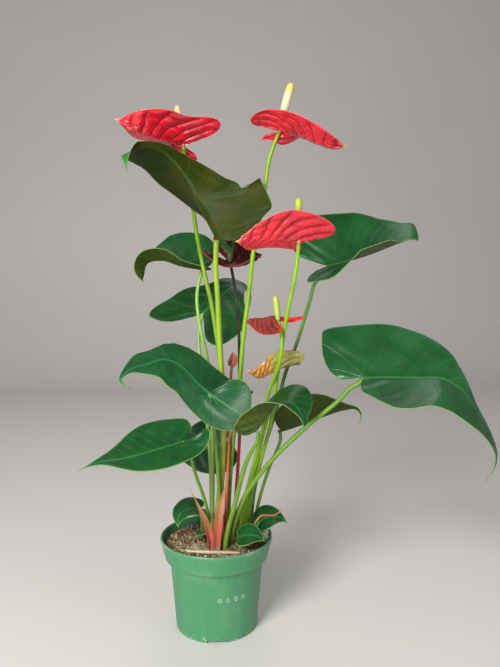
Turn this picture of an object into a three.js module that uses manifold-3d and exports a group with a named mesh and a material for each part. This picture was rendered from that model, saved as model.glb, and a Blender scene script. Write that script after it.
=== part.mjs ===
// Potted flamingo flower (anthurium) in a 12 cm nursery pot. Millimetres, +Z up, +Y away from the
// front; the origin is the centre of the pot's underside. Every leaf, flower and stem is its own piece.
import * as THREE from "three";
import { mergeVertices } from "three/addons/utils/BufferGeometryUtils.js";
import Module from "manifold-3d";

const wasm = await Module();
wasm.setup();

// ---- driving dimensions -------------------------------------------------------------------------
const POT_HEIGHT = 97;
const RIM_RADIUS = 60; // a standard 12 cm nursery pot
const BAND_LOW_RADIUS = 55; // rim band, low edge
const BAND_HEIGHT = 21;
const BODY_TOP_RADIUS = 49.6; // body just under the rim band
const BASE_RADIUS = 43.4;
const WALL = 1.4;
const FLOOR_LIFT = 3; // underside of the floor above the table
const FLOOR = 1.9;
const FOOT_WIDTH = 11; // the ring the pot stands on
const PAD_RADIUS = 12; // centre pad of the underside
const NOTCH_WIDTH = 20; // four notches through the foot ring
const DRAIN_RADIUS = 3;
const DRAIN_COUNT = 8;
const DRAIN_CIRCLE = 22;
const SOIL_LEVEL = 89;
const SOIL_RELIEF = 1.5;
const CRUST_RISE = 5; // crust that climbs the right of the rim
const FOOT_DEPTH = 79; // height at which the stems end in the soil
const FIT = 0.35; // clear gap between neighbouring pieces
const SPADIX_GAP = 3; // foot of a spadix over the middle of its spathe
const STEM_GAP = 1.6; // top of a stem under the middle of its blade
const LEAF_THICKNESS = 1.0;
const SPATHE_THICKNESS = 1.0;
const QUILT = 0.7; // raised net of a spathe, each way
const ROUND = 32; // sides of the pot
const FLAT_TIP = 8; // half width under which a blade flattens out towards its tip
const FOLD_REACH = 3; // width beside a midrib over which a fold is rounded
const NOTCH_START = 0.1; // share of the outline that the straight edge of the notch stands for
const LONG = 10; // lengths a long stem is made of
const SHORT = 6;

// ---- small helpers ------------------------------------------------------------------------------
const rad = THREE.MathUtils.degToRad;
const vec = (a) => new THREE.Vector3(a[0], a[1], a[2]);
const pick = (value, side) => (Array.isArray(value) ? value[side] : value);
const clamp = THREE.MathUtils.clamp;

// A value read along a list of evenly spaced keys, u from 0 to 1.
function keyed(keys, u) {
  if (!Array.isArray(keys)) return keys;
  const at = clamp(u, 0, 1) * (keys.length - 1);
  const i = Math.min(Math.floor(at), keys.length - 2);
  return keys[i] + (keys[i + 1] - keys[i]) * (at - i);
}

// A smooth line through the points, as count + 1 evenly spaced points.
function course(points, count) {
  const p = points.map(vec);
  const gap = [];
  for (let i = 1; i < p.length; i++) gap.push(p[i].distanceTo(p[i - 1]));
  const slope = gap.map((d, i) => p[i + 1].clone().sub(p[i]).divideScalar(d));
  const m = p.map((_, i) => {
    if (i === 0 || i === p.length - 1) return null;
    const a = slope[i - 1].clone().multiplyScalar(gap[i]);
    return a.add(slope[i].clone().multiplyScalar(gap[i - 1])).divideScalar(gap[i] + gap[i - 1]);
  });
  const last = p.length - 1;
  m[0] = last > 1 ? slope[0].clone().multiplyScalar(2).sub(m[1]) : slope[0].clone();
  m[last] = last > 1 ? slope[last - 1].clone().multiplyScalar(2).sub(m[last - 1]) : slope[0].clone();
  const total = gap.reduce((a, b) => a + b, 0);
  const out = [];
  for (let k = 0; k <= count; k++) {
    let s = (total * k) / count;
    let i = 0;
    while (i < gap.length - 1 && s > gap[i]) s -= gap[i++];
    const h = gap[i];
    const u = Math.min(s / h, 1);
    const point = p[i].clone().multiplyScalar(2 * u ** 3 - 3 * u ** 2 + 1);
    point.addScaledVector(m[i], (u ** 3 - 2 * u ** 2 + u) * h);
    point.addScaledVector(p[i + 1], -2 * u ** 3 + 3 * u ** 2);
    point.addScaledVector(m[i + 1], (u ** 3 - u ** 2) * h);
    out.push(point);
  }
  return out;
}

// Twist-free frames along a line: t forward, b to the left, n up, s the length so far.
function framed(line) {
  const n = line.length;
  const f = [];
  for (let i = 0; i < n; i++) {
    const t = line[Math.min(i + 1, n - 1)].clone().sub(line[Math.max(i - 1, 0)]).normalize();
    f.push({ p: line[i], t, s: i ? f[i - 1].s + line[i].distanceTo(line[i - 1]) : 0 });
  }
  let b = new THREE.Vector3(0, 0, 1).cross(f[0].t);
  if (b.length() < 1e-3) b.set(0, 1, 0);
  b.normalize();
  for (let i = 0; i < n; i++) {
    if (i) {
      const v = f[i].p.clone().sub(f[i - 1].p);
      const c = v.lengthSq();
      const bl = b.clone().addScaledVector(v, (-2 / c) * v.dot(b));
      const tl = f[i - 1].t.clone().addScaledVector(v, (-2 / c) * v.dot(f[i - 1].t));
      const w = f[i].t.clone().sub(tl);
      const d = w.lengthSq();
      b = d > 1e-12 ? bl.addScaledVector(w, (-2 / d) * w.dot(bl)) : bl;
      b.addScaledVector(f[i].t, -b.dot(f[i].t)).normalize();
    }
    f[i].b = b.clone();
    f[i].n = f[i].t.clone().cross(b).normalize();
  }
  return f;
}

// The frame at a length along the line.
function frameAt(f, s) {
  const x = clamp(s, 0, f[f.length - 1].s);
  let i = 0;
  while (i < f.length - 2 && f[i + 1].s < x) i++;
  const k = (x - f[i].s) / (f[i + 1].s - f[i].s);
  const mix = (a) => f[i][a].clone().lerp(f[i + 1][a], k);
  return { p: mix("p"), t: mix("t").normalize(), b: mix("b").normalize(), n: mix("n").normalize() };
}

// The frame at a length, its directions evened out over a reach on both sides: far from the midrib a
// blade bends less sharply than the midrib does.
function calm(f, s, reach) {
  const at = frameAt(f, s);
  for (const step of [-0.9, -0.45, 0.45, 0.9]) {
    const other = frameAt(f, s + step * reach);
    for (const a of ["t", "b", "n"]) at[a].add(other[a]);
  }
  for (const a of ["t", "b", "n"]) at[a].normalize();
  return at;
}

function bezier(p, t) {
  const s = 1 - t;
  const w = [s ** 3, 3 * s * s * t, 3 * s * t * t, t ** 3];
  return [0, 1].map((k) => w[0] * p[0][k] + w[1] * p[1][k] + w[2] * p[2][k] + w[3] * p[3][k]);
}

// Half the outline of a heart-shaped blade, from the notch over the stem to the tip: [along, across].
function margin(length, width, lobe, lobeSide, widest, gap, notch, tip, full, t) {
  const a = 0.2;
  const b = 0.45;
  if (t <= a)
    return bezier([[0, 0], [notch * lobe, gap], [-lobe, gap + 0.1 * lobeSide], [-lobe, lobeSide]], t / a);
  if (t <= b) {
    const shoulder = widest - 0.54 * (widest + lobe);
    const rise = lobeSide + 0.6 * (width - lobeSide);
    return bezier([[-lobe, lobeSide], [-lobe, rise], [shoulder, width], [widest, width]], (t - a) / (b - a));
  }
  return bezier(
    [[widest, width], [widest + full * (length - widest), width], [length - tip, 0.04 * width], [length, 0]],
    (t - b) / (1 - b),
  );
}

// The middle surface of a blade as two grids of points, left and right of the midrib.
function halves(leaf, rows, columns) {
  const f = framed(course(leaf.spine, 80));
  const length = f[f.length - 1].s;
  return [0, 1].map((side) => {
    const value = (name, other) => pick(leaf[name] ?? other, side);
    const width = value("width");
    const lobe = value("lobe", 0.3 * length);
    const fold = (side && leaf.foldRight) || leaf.fold || 0;
    const curl = leaf.curl || 0;
    const grid = [];
    for (let i = 0; i <= rows; i++) {
      const start = value("start", NOTCH_START);
      const t = start + ((1 - start) * i) / rows;
      const along = NOTCH_START + ((1 - NOTCH_START) * i) / rows;
      const mid = length * clamp((along - 0.14) / 0.86, 0, 1) ** 1.5;
      const edge = margin(
        length,
        width,
        lobe,
        value("lobeSide", 0.5) * width,
        value("widest", 0.22) * length,
        value("gap", 0.06) * width,
        value("notch", -0.35),
        value("tip", 0.2) * length,
        value("full", 0.42),
        t,
      );
      for (const [on, place, depth, reach] of leaf.dents ?? [])
        if (on === side) edge[1] *= 1 - depth * Math.exp(-(((t - place) / reach) ** 2));
      const open = t > 0.45 ? clamp(edge[1] / FLAT_TIP, 0, 1) : 1;
      const row = [];
      for (let j = 0; j <= columns; j++) {
        const v = j / columns;
        const x = mid * (1 - v) + edge[0] * v;
        const y = edge[1] * v;
        const u = clamp(x / length, 0, 1);
        const al = rad(keyed(fold, u)) * open;
        const bend = rad(keyed(curl, u)) || 1e-4;
        const across = (width / bend) * (Math.sin(al + (bend * y) / width) - Math.sin(al));
        let raised = (width / bend) * (Math.cos(al) - Math.cos(al + (bend * y) / width));
        for (const [on, along, over, height, reach] of leaf.swells ?? [])
          if (on === side)
            raised += height * (1 - Math.exp(-((y / 5) ** 2))) *
              Math.exp(-((x / length - along) ** 2 + (y / width - over) ** 2) / reach ** 2);
        const at = calm(f, x, y);
        const roll = rad(keyed(leaf.roll || 0, u));
        const left = at.b.clone().multiplyScalar(Math.cos(roll)).addScaledVector(at.n, Math.sin(roll));
        const up = at.n.clone().multiplyScalar(Math.cos(roll)).addScaledVector(at.b, -Math.sin(roll));
        const back = Math.max(-x, 0);
        const turn = rad(value("lift", 0)) / lobe || 1e-6;
        const p = at.p.clone();
        p.addScaledVector(at.t, -Math.sin(turn * back) / turn);
        p.addScaledVector(up, (1 - Math.cos(turn * back)) / turn);
        up.multiplyScalar(Math.cos(turn * back)).addScaledVector(at.t, Math.sin(turn * back));
        p.addScaledVector(left, side ? -across : across).addScaledVector(up, raised);
        row.push(p);
      }
      grid.push(row);
    }
    return grid;
  });
}

// Closes triangles given as points into one solid, with equal corners joined.
function solid(triangles) {
  const at = new Map();
  const corners = [];
  const faces = [];
  for (const triangle of triangles) {
    const ids = triangle.map((p) => {
      const key = `${Math.round(p.x * 500)},${Math.round(p.y * 500)},${Math.round(p.z * 500)}`;
      if (!at.has(key)) {
        at.set(key, at.size);
        corners.push(p.x, p.y, p.z);
      }
      return at.get(key);
    });
    if (ids[0] !== ids[1] && ids[1] !== ids[2] && ids[0] !== ids[2]) faces.push(...ids);
  }
  return new wasm.Manifold(
    new wasm.Mesh({
      numProp: 3,
      vertProperties: new Float32Array(corners),
      triVerts: new Uint32Array(faces),
    }),
  );
}

// A blade of even thickness. relief(side, t, v) raises the upper and under face together, and spread
// carries the margin outwards.
function blade(leaf, thickness, rows = 12, columns = 3, relief = null, spread = 0) {
  const grids = halves(leaf, rows, columns);
  const line = course(leaf.spine, 80);
  const tail = line[0].clone().sub(line[1]).normalize();
  const head = line[80].clone().sub(line[79]).normalize();
  const key = (p) => `${Math.round(p.x * 500)},${Math.round(p.y * 500)},${Math.round(p.z * 500)}`;
  const normals = new Map();
  const each = (done) => {
    grids.forEach((g, side) => {
      for (let i = 0; i < rows; i++)
        for (let j = 0; j < columns; j++) {
          const a = [i, j];
          const b = [i + 1, j];
          const c = [i + 1, j + 1];
          const d = [i, j + 1];
          for (const tri of [[a, b, c], [a, c, d]]) done(g, side, side ? [...tri].reverse() : tri);
        }
    });
  };
  each((g, side, tri) => {
    const [a, b, c] = tri.map(([i, j]) => g[i][j]);
    const n = b.clone().sub(a).cross(c.clone().sub(a));
    for (const p of [a, b, c]) {
      if (!normals.has(key(p))) normals.set(key(p), new THREE.Vector3());
      normals.get(key(p)).add(n);
    }
  });
  for (const n of normals.values()) n.normalize();
  const shell = (g, side, i, j, half) => {
    const p = g[i][j];
    const middle = g[i][0];
    const near = clamp(p.distanceTo(middle) / FOLD_REACH, 0, 1);
    const n = normals.get(key(p)).clone().lerp(normals.get(key(middle)), 1 - near).normalize();
    const rise = relief && i > 0 && i < rows && j > 0 ? relief(side, i / rows, j / columns) : 0;
    const out = p.clone().addScaledVector(n, half + rise);
    if (!spread) return out;
    if (i + j === 0) return out.addScaledVector(tail, spread);
    if (i === rows) return out.addScaledVector(head, spread);
    if (i === 0) out.addScaledVector(p.clone().sub(g[1][j]).normalize(), spread);
    return j === columns ? out.addScaledVector(p.clone().sub(g[i][j - 1]).normalize(), spread) : out;
  };
  const out = [[], []];
  const h = thickness / 2;
  each((g, side, tri) => {
    out[side].push(tri.map(([i, j]) => shell(g, side, i, j, h)));
    out[side].push(tri.map(([i, j]) => shell(g, side, i, j, -h)).reverse());
  });
  // Each half is closed along the margin, the notch and the midrib, and the two are joined.
  grids.forEach((g, side) => {
    const wall = (from, to, turn) => {
      const a = shell(g, side, ...from, h);
      const b = shell(g, side, ...to, h);
      const c = shell(g, side, ...to, -h);
      const d = shell(g, side, ...from, -h);
      for (const tri of [[a, b, c], [a, c, d]]) out[side].push(turn ? tri.reverse() : tri);
    };
    for (let i = 0; i < rows; i++) {
      wall([i, columns], [i + 1, columns], side === 1);
      wall([i, 0], [i + 1, 0], side === 0);
    }
    for (let j = 0; j < columns; j++) wall([0, j], [0, j + 1], side === 1);
  });
  return solid(out[0]).add(solid(out[1]));
}

// A round stem along a line, its radius read along keys; grow thickens it and both its ends.
function stem(points, radii, sides = 6, rows = 10, grow = 0, bump = 0) {
  const f = framed(course(points, rows));
  const ring = f.map((at, i) => {
    const r = keyed(radii, i / rows) + grow;
    const centre = at.p.clone();
    if (i === 0) centre.addScaledVector(at.t, -grow);
    if (i === rows) centre.addScaledVector(at.t, grow);
    const out = [];
    for (let k = 0; k < sides; k++) {
      const angle = (2 * Math.PI * (k + (bump ? i / 2 : 0))) / sides;
      const p = centre.clone().addScaledVector(at.b, r * Math.cos(angle));
      out.push(p.addScaledVector(at.n, r * Math.sin(angle)));
    }
    out.centre = centre;
    return out;
  });
  const out = [];
  for (let i = 0; i < rows; i++)
    for (let k = 0; k < sides; k++) {
      const m = (k + 1) % sides;
      out.push([ring[i][k], ring[i][m], ring[i + 1][m]], [ring[i][k], ring[i + 1][m], ring[i + 1][k]]);
    }
  for (let k = 0; k < sides; k++) {
    const m = (k + 1) % sides;
    out.push([ring[0].centre, ring[0][m], ring[0][k]]);
    out.push([ring[rows].centre, ring[rows][k], ring[rows][m]]);
  }
  return solid(out);
}

// What is left of a piece once its neighbours are cleared from it.
function clear(piece, ...others) {
  const left = others.reduce((a, b) => a.subtract(b), piece).decompose();
  return left.reduce((a, b) => (b.volume() > a.volume() ? b : a));
}

// A turned body from a closed profile of [radius, height].
function turned(profile) {
  const points = [...profile, profile[0]].map(([r, z]) => new THREE.Vector2(r, z));
  const g = new THREE.LatheGeometry(points, ROUND).rotateX(Math.PI / 2);
  const p = g.attributes.position;
  const out = [];
  const corner = (i) => new THREE.Vector3().fromBufferAttribute(p, i);
  for (let i = 0; i < g.index.count; i += 3)
    out.push([0, 1, 2].map((k) => corner(g.index.getX(i + k))));
  const made = solid(out);
  return made.volume() < 0 ? solid(out.map((t) => t.reverse())) : made;
}

// A three.js solid (box, cylinder) as a body for cutting.
function cutter(geometry) {
  const g = mergeVertices(
    new THREE.BufferGeometry().setAttribute("position", geometry.toNonIndexed().getAttribute("position")),
  );
  return new wasm.Manifold(
    new wasm.Mesh({
      numProp: 3,
      vertProperties: g.attributes.position.array,
      triVerts: new Uint32Array(g.index.array),
    }),
  );
}

// ---- pot ----------------------------------------------------------------------------------------
const bandFoot = POT_HEIGHT - BAND_HEIGHT;
const INSIDE = [
  [RIM_RADIUS - WALL - 0.9, POT_HEIGHT - 1],
  [BAND_LOW_RADIUS - WALL, bandFoot + 1],
  [BODY_TOP_RADIUS - WALL, bandFoot - 3],
  [BASE_RADIUS - WALL, FLOOR_LIFT + FLOOR],
];
let pot = turned([
  [0, 0],
  [PAD_RADIUS, 0],
  [PAD_RADIUS + 1, FLOOR_LIFT],
  [BASE_RADIUS - FOOT_WIDTH - 1, FLOOR_LIFT],
  [BASE_RADIUS - FOOT_WIDTH, 0],
  [BASE_RADIUS - 1.2, 0],
  [BASE_RADIUS, 1.2],
  [BODY_TOP_RADIUS, bandFoot - 3],
  [BODY_TOP_RADIUS + 0.6, bandFoot - 1.8],
  [BAND_LOW_RADIUS - 0.9, bandFoot - 1],
  [BAND_LOW_RADIUS, bandFoot + 0.6],
  [RIM_RADIUS, POT_HEIGHT - 1.6],
  [RIM_RADIUS - 0.3, POT_HEIGHT - 0.3],
  [RIM_RADIUS - 1, POT_HEIGHT],
  [RIM_RADIUS - WALL - 0.3, POT_HEIGHT],
  ...INSIDE,
  [0, FLOOR_LIFT + FLOOR],
]);
for (let k = 0; k < 4; k++) {
  const notch = new THREE.BoxGeometry(FOOT_WIDTH + 12, NOTCH_WIDTH, FLOOR_LIFT + 2);
  notch.translate(BASE_RADIUS - FOOT_WIDTH / 2 + 3, 0, FLOOR_LIFT - (FLOOR_LIFT + 2) / 2);
  pot = pot.subtract(cutter(notch.rotateZ((k * Math.PI) / 2)));
}
for (let k = 0; k < DRAIN_COUNT; k++) {
  const hole = new THREE.CylinderGeometry(DRAIN_RADIUS, DRAIN_RADIUS, 12, 10).rotateX(Math.PI / 2);
  hole.translate(DRAIN_CIRCLE, 0, FLOOR_LIFT).rotateZ(((k + 0.5) * 2 * Math.PI) / DRAIN_COUNT);
  pot = pot.subtract(cutter(hole));
}

// ---- soil ---------------------------------------------------------------------------------------
// Height of the soil over a place in plan.
function soilTop(x, y) {
  const lumps =
    Math.sin(0.21 * x + 1.3) * Math.cos(0.17 * y - 0.4) +
    0.6 * Math.sin(0.43 * x - 0.31 * y) +
    0.35 * Math.sin(0.9 * x + 0.6 * y);
  const crust = CRUST_RISE * Math.exp(-(((x - 44) / 10) ** 2) - ((y - 24) / 16) ** 2);
  return SOIL_LEVEL + SOIL_RELIEF * lumps + crust;
}

function soilBody() {
  const wallAt = (z) => {
    const [top, low] = INSIDE;
    return low[0] + ((top[0] - low[0]) * (z - low[1])) / (top[1] - low[1]);
  };
  const rings = [];
  const edge = wallAt(SOIL_LEVEL - 1) - FIT;
  for (const share of [0.2, 0.4, 0.6, 0.8, 0.94])
    rings.push((a) => {
      const [x, y] = [edge * share * Math.cos(a), edge * share * Math.sin(a)];
      return new THREE.Vector3(x, y, soilTop(x, y));
    });
  const level = (r, z) => rings.push((a) => new THREE.Vector3(r * Math.cos(a), r * Math.sin(a), z));
  level(edge, SOIL_LEVEL - 1);
  level(INSIDE[1][0] - FIT, INSIDE[1][1] + 0.2);
  level(INSIDE[2][0] - FIT, INSIDE[2][1] + 0.2);
  level(INSIDE[3][0] - FIT - 0.1, INSIDE[3][1] + FIT);
  const loops = rings.map((at) =>
    Array.from({ length: ROUND }, (_, k) => at((2 * Math.PI * k) / ROUND + Math.PI / 2)),
  );
  const out = [];
  const top = new THREE.Vector3(0, 0, soilTop(0, 0));
  const low = new THREE.Vector3(0, 0, INSIDE[3][1] + FIT);
  for (let k = 0; k < ROUND; k++) {
    const m = (k + 1) % ROUND;
    out.push([top, loops[0][k], loops[0][m]]);
    for (let i = 1; i < loops.length; i++)
      out.push([loops[i - 1][k], loops[i][k], loops[i][m]], [loops[i - 1][k], loops[i][m], loops[i - 1][m]]);
    out.push([low, loops[loops.length - 1][m], loops[loops.length - 1][k]]);
  }
  return solid(out);
}

// ---- leaves -------------------------------------------------------------------------------------
// spine: midrib from the stem to the tip. width: left and right half. lobe: length behind the stem.
// roll lifts the left half, fold lifts both, lift turns the lobes up; all angles in degrees.
// dents: half, place along the outline, depth as a share of the width, reach. swells: half, places
// along and across, height, reach.
const LEAVES = {
  leaf_top: {
    spine: [[1, -10, 410], [-18, 0, 447], [-34, 3, 481], [-53, -3, 500], [-72, -20, 500], [-82, -35, 492], [-85, -42, 472]],
    width: [70, 54], lobe: [20, 20], lobeSide: [0.9, 0.5], widest: [0.18, 0.2], roll: [75, 75, 75, 60],
    fold: [25, 35, 85, 110, 80], foldRight: [60, 45, 10, 0, 0], lift: [30, 20], tip: [0.35, 0.1],
    full: [-0.1, 0.6], dents: [[0, 0.54, 0.2, 0.05], [0, 0.66, 0.22, 0.1], [0, 0.82, 0.35, 0.09], [1, 0.78, -0.15, 0.1]],
  },
  leaf_left_high: {
    spine: [[-15, 55, 382], [-39, 53, 386], [-61, 47, 392], [-75, 44, 389], [-81, 42, 380], [-80, 40, 367]],
    width: [24, 61], lobe: [10, 12], roll: [0, 5, 30, 75], fold: [10, 10, 10], foldRight: [50, 45, 20],
    tip: [0.08, 0.25], full: [0.7, 0.3], widest: [0.5, 0.2],
  },
  leaf_back: {
    spine: [[-15, 85, 332], [4, 100, 350], [25, 115, 365], [40, 122, 362], [43, 124, 340]],
    width: [62, 60], lobe: [42, 38], lobeSide: [0.75, 0.75], gap: [0.22, 0.3], roll: [27, 27, 15], fold: 5, lift: 10,
    tip: 0.35, full: 0.3, widest: 0.05, dents: [[0, 0.45, 0.22, 0.12], [0, 0.66, 0.4, 0.14]],
  },
  leaf_right_high: {
    spine: [[121, 15, 385], [139, 12, 389], [160, 9, 395], [181, 6, 403], [198, 4, 410], [208, 2, 414], [214, 0, 411]],
    width: [68, 42], lobe: [44, 24], lobeSide: [0.9, 0.6], gap: 0.12, roll: [28, 28, 28, 30],
    fold: [35, 30, 15, 0], foldRight: [5, 36, 38, 10], lift: [10, -15], tip: [-0.02, 0.1], full: [0.9, 0.7],
    widest: [0.05, 0.3], dents: [[0, 0.84, -0.8, 0.08]],
  },
  leaf_right_large: {
    spine: [[146, -50, 272], [170, -58, 273], [196, -68, 274], [216, -76, 274], [231, -84, 264], [242, -90, 248],
    [254, -95, 225], [260, -97, 201], [249, -100, 182]],
    width: [65, 50], lobe: [46, 3], lobeSide: [0.8, 0.3], gap: [-0.15, 0.1], start: [0.08, 0.12],
    roll: [40, 40, 30, 20], fold: [12, 12, 15, -25, -30, -20], foldRight: [12, 12, 12, 20], lift: [10, 10],
    tip: [0.45, 0.3], full: [0.2, 0.5], widest: [0.06, 0.25],
    dents: [[1, 0.3, 0.2, 0.08], [0, 0.79, 0.5, 0.1]],
  },
  leaf_left_large: {
    spine: [[-6, -35, 255], [-20, -33, 267], [-35, -30, 282], [-50, -28, 289], [-70, -27, 284], [-89, -28, 277],
    [-95, -30, 270], [-85, -33, 260]],
    width: [34, 34], lobe: [45, 34], lobeSide: [0.1, 0.95], gap: [-1.2, 0.3], notch: [0, -0.35], start: [0.04, 0.12],
    roll: [-40, -38, -30], fold: [-40, -10, -5, -5, -5, 0], foldRight: [-5, -5, 0], lift: [20, 30], tip: [0.35, 0.3],
    widest: [0.15, 0.5], full: [0.45, 0.55], dents: [[0, 0.45, 0.3, 0.09], [1, 0.52, 0.3, 0.1]],
  },
  leaf_left_low: {
    spine: [[-34, -35, 207], [-60, -48, 202], [-88, -58, 197], [-112, -65, 195], [-130, -72, 189]],
    width: [26, 38], lobe: [30, 18], lobeSide: [0.35, 0.5], roll: [-30, -30, -10], lift: [65, 30], tip: 0.3,
  },
  leaf_rear_low: {
    spine: [[12, 60, 184], [-3, 60, 178], [-22, 58, 172], [-43, 56, 162]],
    width: 33, lobe: 6, roll: -80, tip: 0.1, full: 0.8,
  },
  leaf_front: {
    spine: [[41, -51, 222], [49, -57, 235], [59, -63, 249], [71, -69, 252], [79, -74, 243], [82, -78, 228]],
    width: [31, 23], lobe: [26, 22], roll: [10, 10, 20], fold: [30, 22, 10], foldRight: [62, 32, -10, -20],
    lift: [40, 30], tip: [0.05, 0.15], widest: [0.5, 0.15], full: [0.7, 0.42], lobeSide: [0.9, 0.7],
    dents: [[0, 0.74, 0.45, 0.09]],
  },
  leaf_right_low: {
    spine: [[71, 12, 207], [89, 12, 213], [108, 13, 220], [126, 14, 225], [142, 15, 228], [154, 16, 228], [160, 17, 221], [158, 17, 211]],
    width: [6, 44], lobe: [5, 4], roll: [-45, -45, -20], fold: 5, tip: [0.3, 0.4],
  },
  leaf_soil_left: {
    spine: [[-18, 16, 120], [-29, 13, 121], [-39, 9, 117], [-41, 5, 102]],
    width: 21, lobe: 6, roll: [-10, -10, -40], fold: 5, lift: 40, tip: 0.2,
  },
  leaf_soil_right: {
    spine: [[46, 0, 109], [59, 0, 115], [77, 0, 107]], width: 16, lobe: 4, roll: 30, fold: 5, tip: 0.2,
  },
  leaf_round: {
    spine: [[26, -28, 105], [38, -31, 107], [49, -34, 102]], width: 15, lobe: 6, roll: 25, fold: 5, tip: 0.1,
  },
  leaf_tiny: {
    spine: [[-14, 2, 98], [-18, -3, 99], [-22, -7, 97]], width: 8, lobe: 4, fold: 5, tip: 0.1,
  },
};
const SMALL = ["leaf_soil_left", "leaf_soil_right", "leaf_round", "leaf_tiny"];

// ---- flowers ------------------------------------------------------------------------------------
const SPATHES = {
  spathe_top_left: {
    spine: [[-35, 45, 518], [-54, 38, 521], [-70, 32, 524], [-83, 27, 527], [-94, 24, 533], [-106, 22, 540]],
    width: [38, 27], lobe: [31, 20], lobeSide: [0.9, 0.45], gap: [0.42, 0.1], roll: 18, fold: [22, 22, 18],
    foldRight: [-40, 20, 22, 22, 20, 18], lift: [0, -10], tip: [0.15, 0.2], full: [0.85, 0.75], widest: [0.22, 0.5],
    dents: [[0, 0.42, 0.05, 0.05], [0, 0.3, -0.16, 0.08], [1, 0.3, 0.45, 0.08]],
  },
  spathe_top_right: {
    spine: [[66, -10, 520], [85, -20, 513], [102, -30, 504], [116, -38, 499], [129, -42, 499]],
    width: [26, 32], lobe: [22, 24], lobeSide: [0.48, 0.6], gap: [0.1, 0.2], roll: -12, fold: [-40, 20, 17, 17, 17, 17],
    foldRight: 17, lift: [-10, -35], tip: 0.1, full: [0.6, 0.8], widest: [0.5, 0.22],
    dents: [[0, 0.29, 0.5, 0.08], [0, 0.4, 0.2, 0.06]],
  },
  spathe_middle: {
    spine: [[79, -60, 403], [63, -64, 405], [46, -68, 405], [30, -71, 404], [18, -73, 403]],
    width: [34, 24], lobe: [29, 7], lobeSide: [0.6, 0.4], gap: [0.3, 0.1], roll: 35, fold: 15, tip: 0.1,
    full: [0.5, 0.6], widest: [0.16, 0.6], dents: [[1, 0.38, 0.3, 0.12]],
  },
  spathe_rear: {
    spine: [[16, 40, 390], [29, 38, 387], [42, 36, 391], [51, 34, 399]],
    width: [44, 32], lobe: [34, 32], lobeSide: [0.8, 0.5], roll: 40, fold: [10, 10], foldRight: [28, 52], lift: 10,
    tip: 0.08, full: 0.7,
  },
  spathe_small: {
    spine: [[61, -45, 329], [47, -47, 331], [35, -48, 330], [28, -49, 326]],
    width: [22, 18], lobe: [3, 28], roll: -25, fold: -20, foldRight: [-12, -35, -35], lift: [0, 35],
    tip: 0.12, full: [0.85, 0.3], widest: [0.55, 0.1],
  },
  spathe_faded: {
    spine: [[66, -4, 275], [55, -6, 270], [45, -8, 267], [39, -9, 271], [32, -10, 276]],
    width: [22, 18], lobe: [26, 24], lobeSide: 0.6, gap: 0.05, roll: 25, fold: 20, curl: 45, lift: -45,
    tip: 0.2, full: 0.8,
  },
};

// Spadices: foot and top, then the radius at the foot and at the top.
const SPADICES = {
  spadix_top_left: [[[-35, 45, 518], [-38, 44, 540], [-42, 43, 561]], [2, 4.3, 4.3, 4.2, 3.4]],
  spadix_top_right: [[[66, -10, 520], [71, -10, 544], [78, -10, 569]], [2, 4.4, 4.4, 4.3, 3.6]],
  spadix_middle: [[[79, -60, 403], [79, -59, 424], [79, -58, 446]], [1.9, 3.8, 3.7, 3.5, 3]],
  spadix_rear: [[[16, 40, 390], [17, 39, 402], [19, 39, 416]], [1.8, 3.2, 3.1, 3, 2.4]],
  spadix_small: [[[61, -45, 329], [60, -45, 340], [58, -45, 353]], [1.8, 3, 2.9, 2.8, 2.4]],
  spadix_faded: [[[66, -4, 277], [65, -4, 285], [63, -4, 295]], [1.6, 2.6, 2.5, 2.3, 2]],
};

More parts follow.
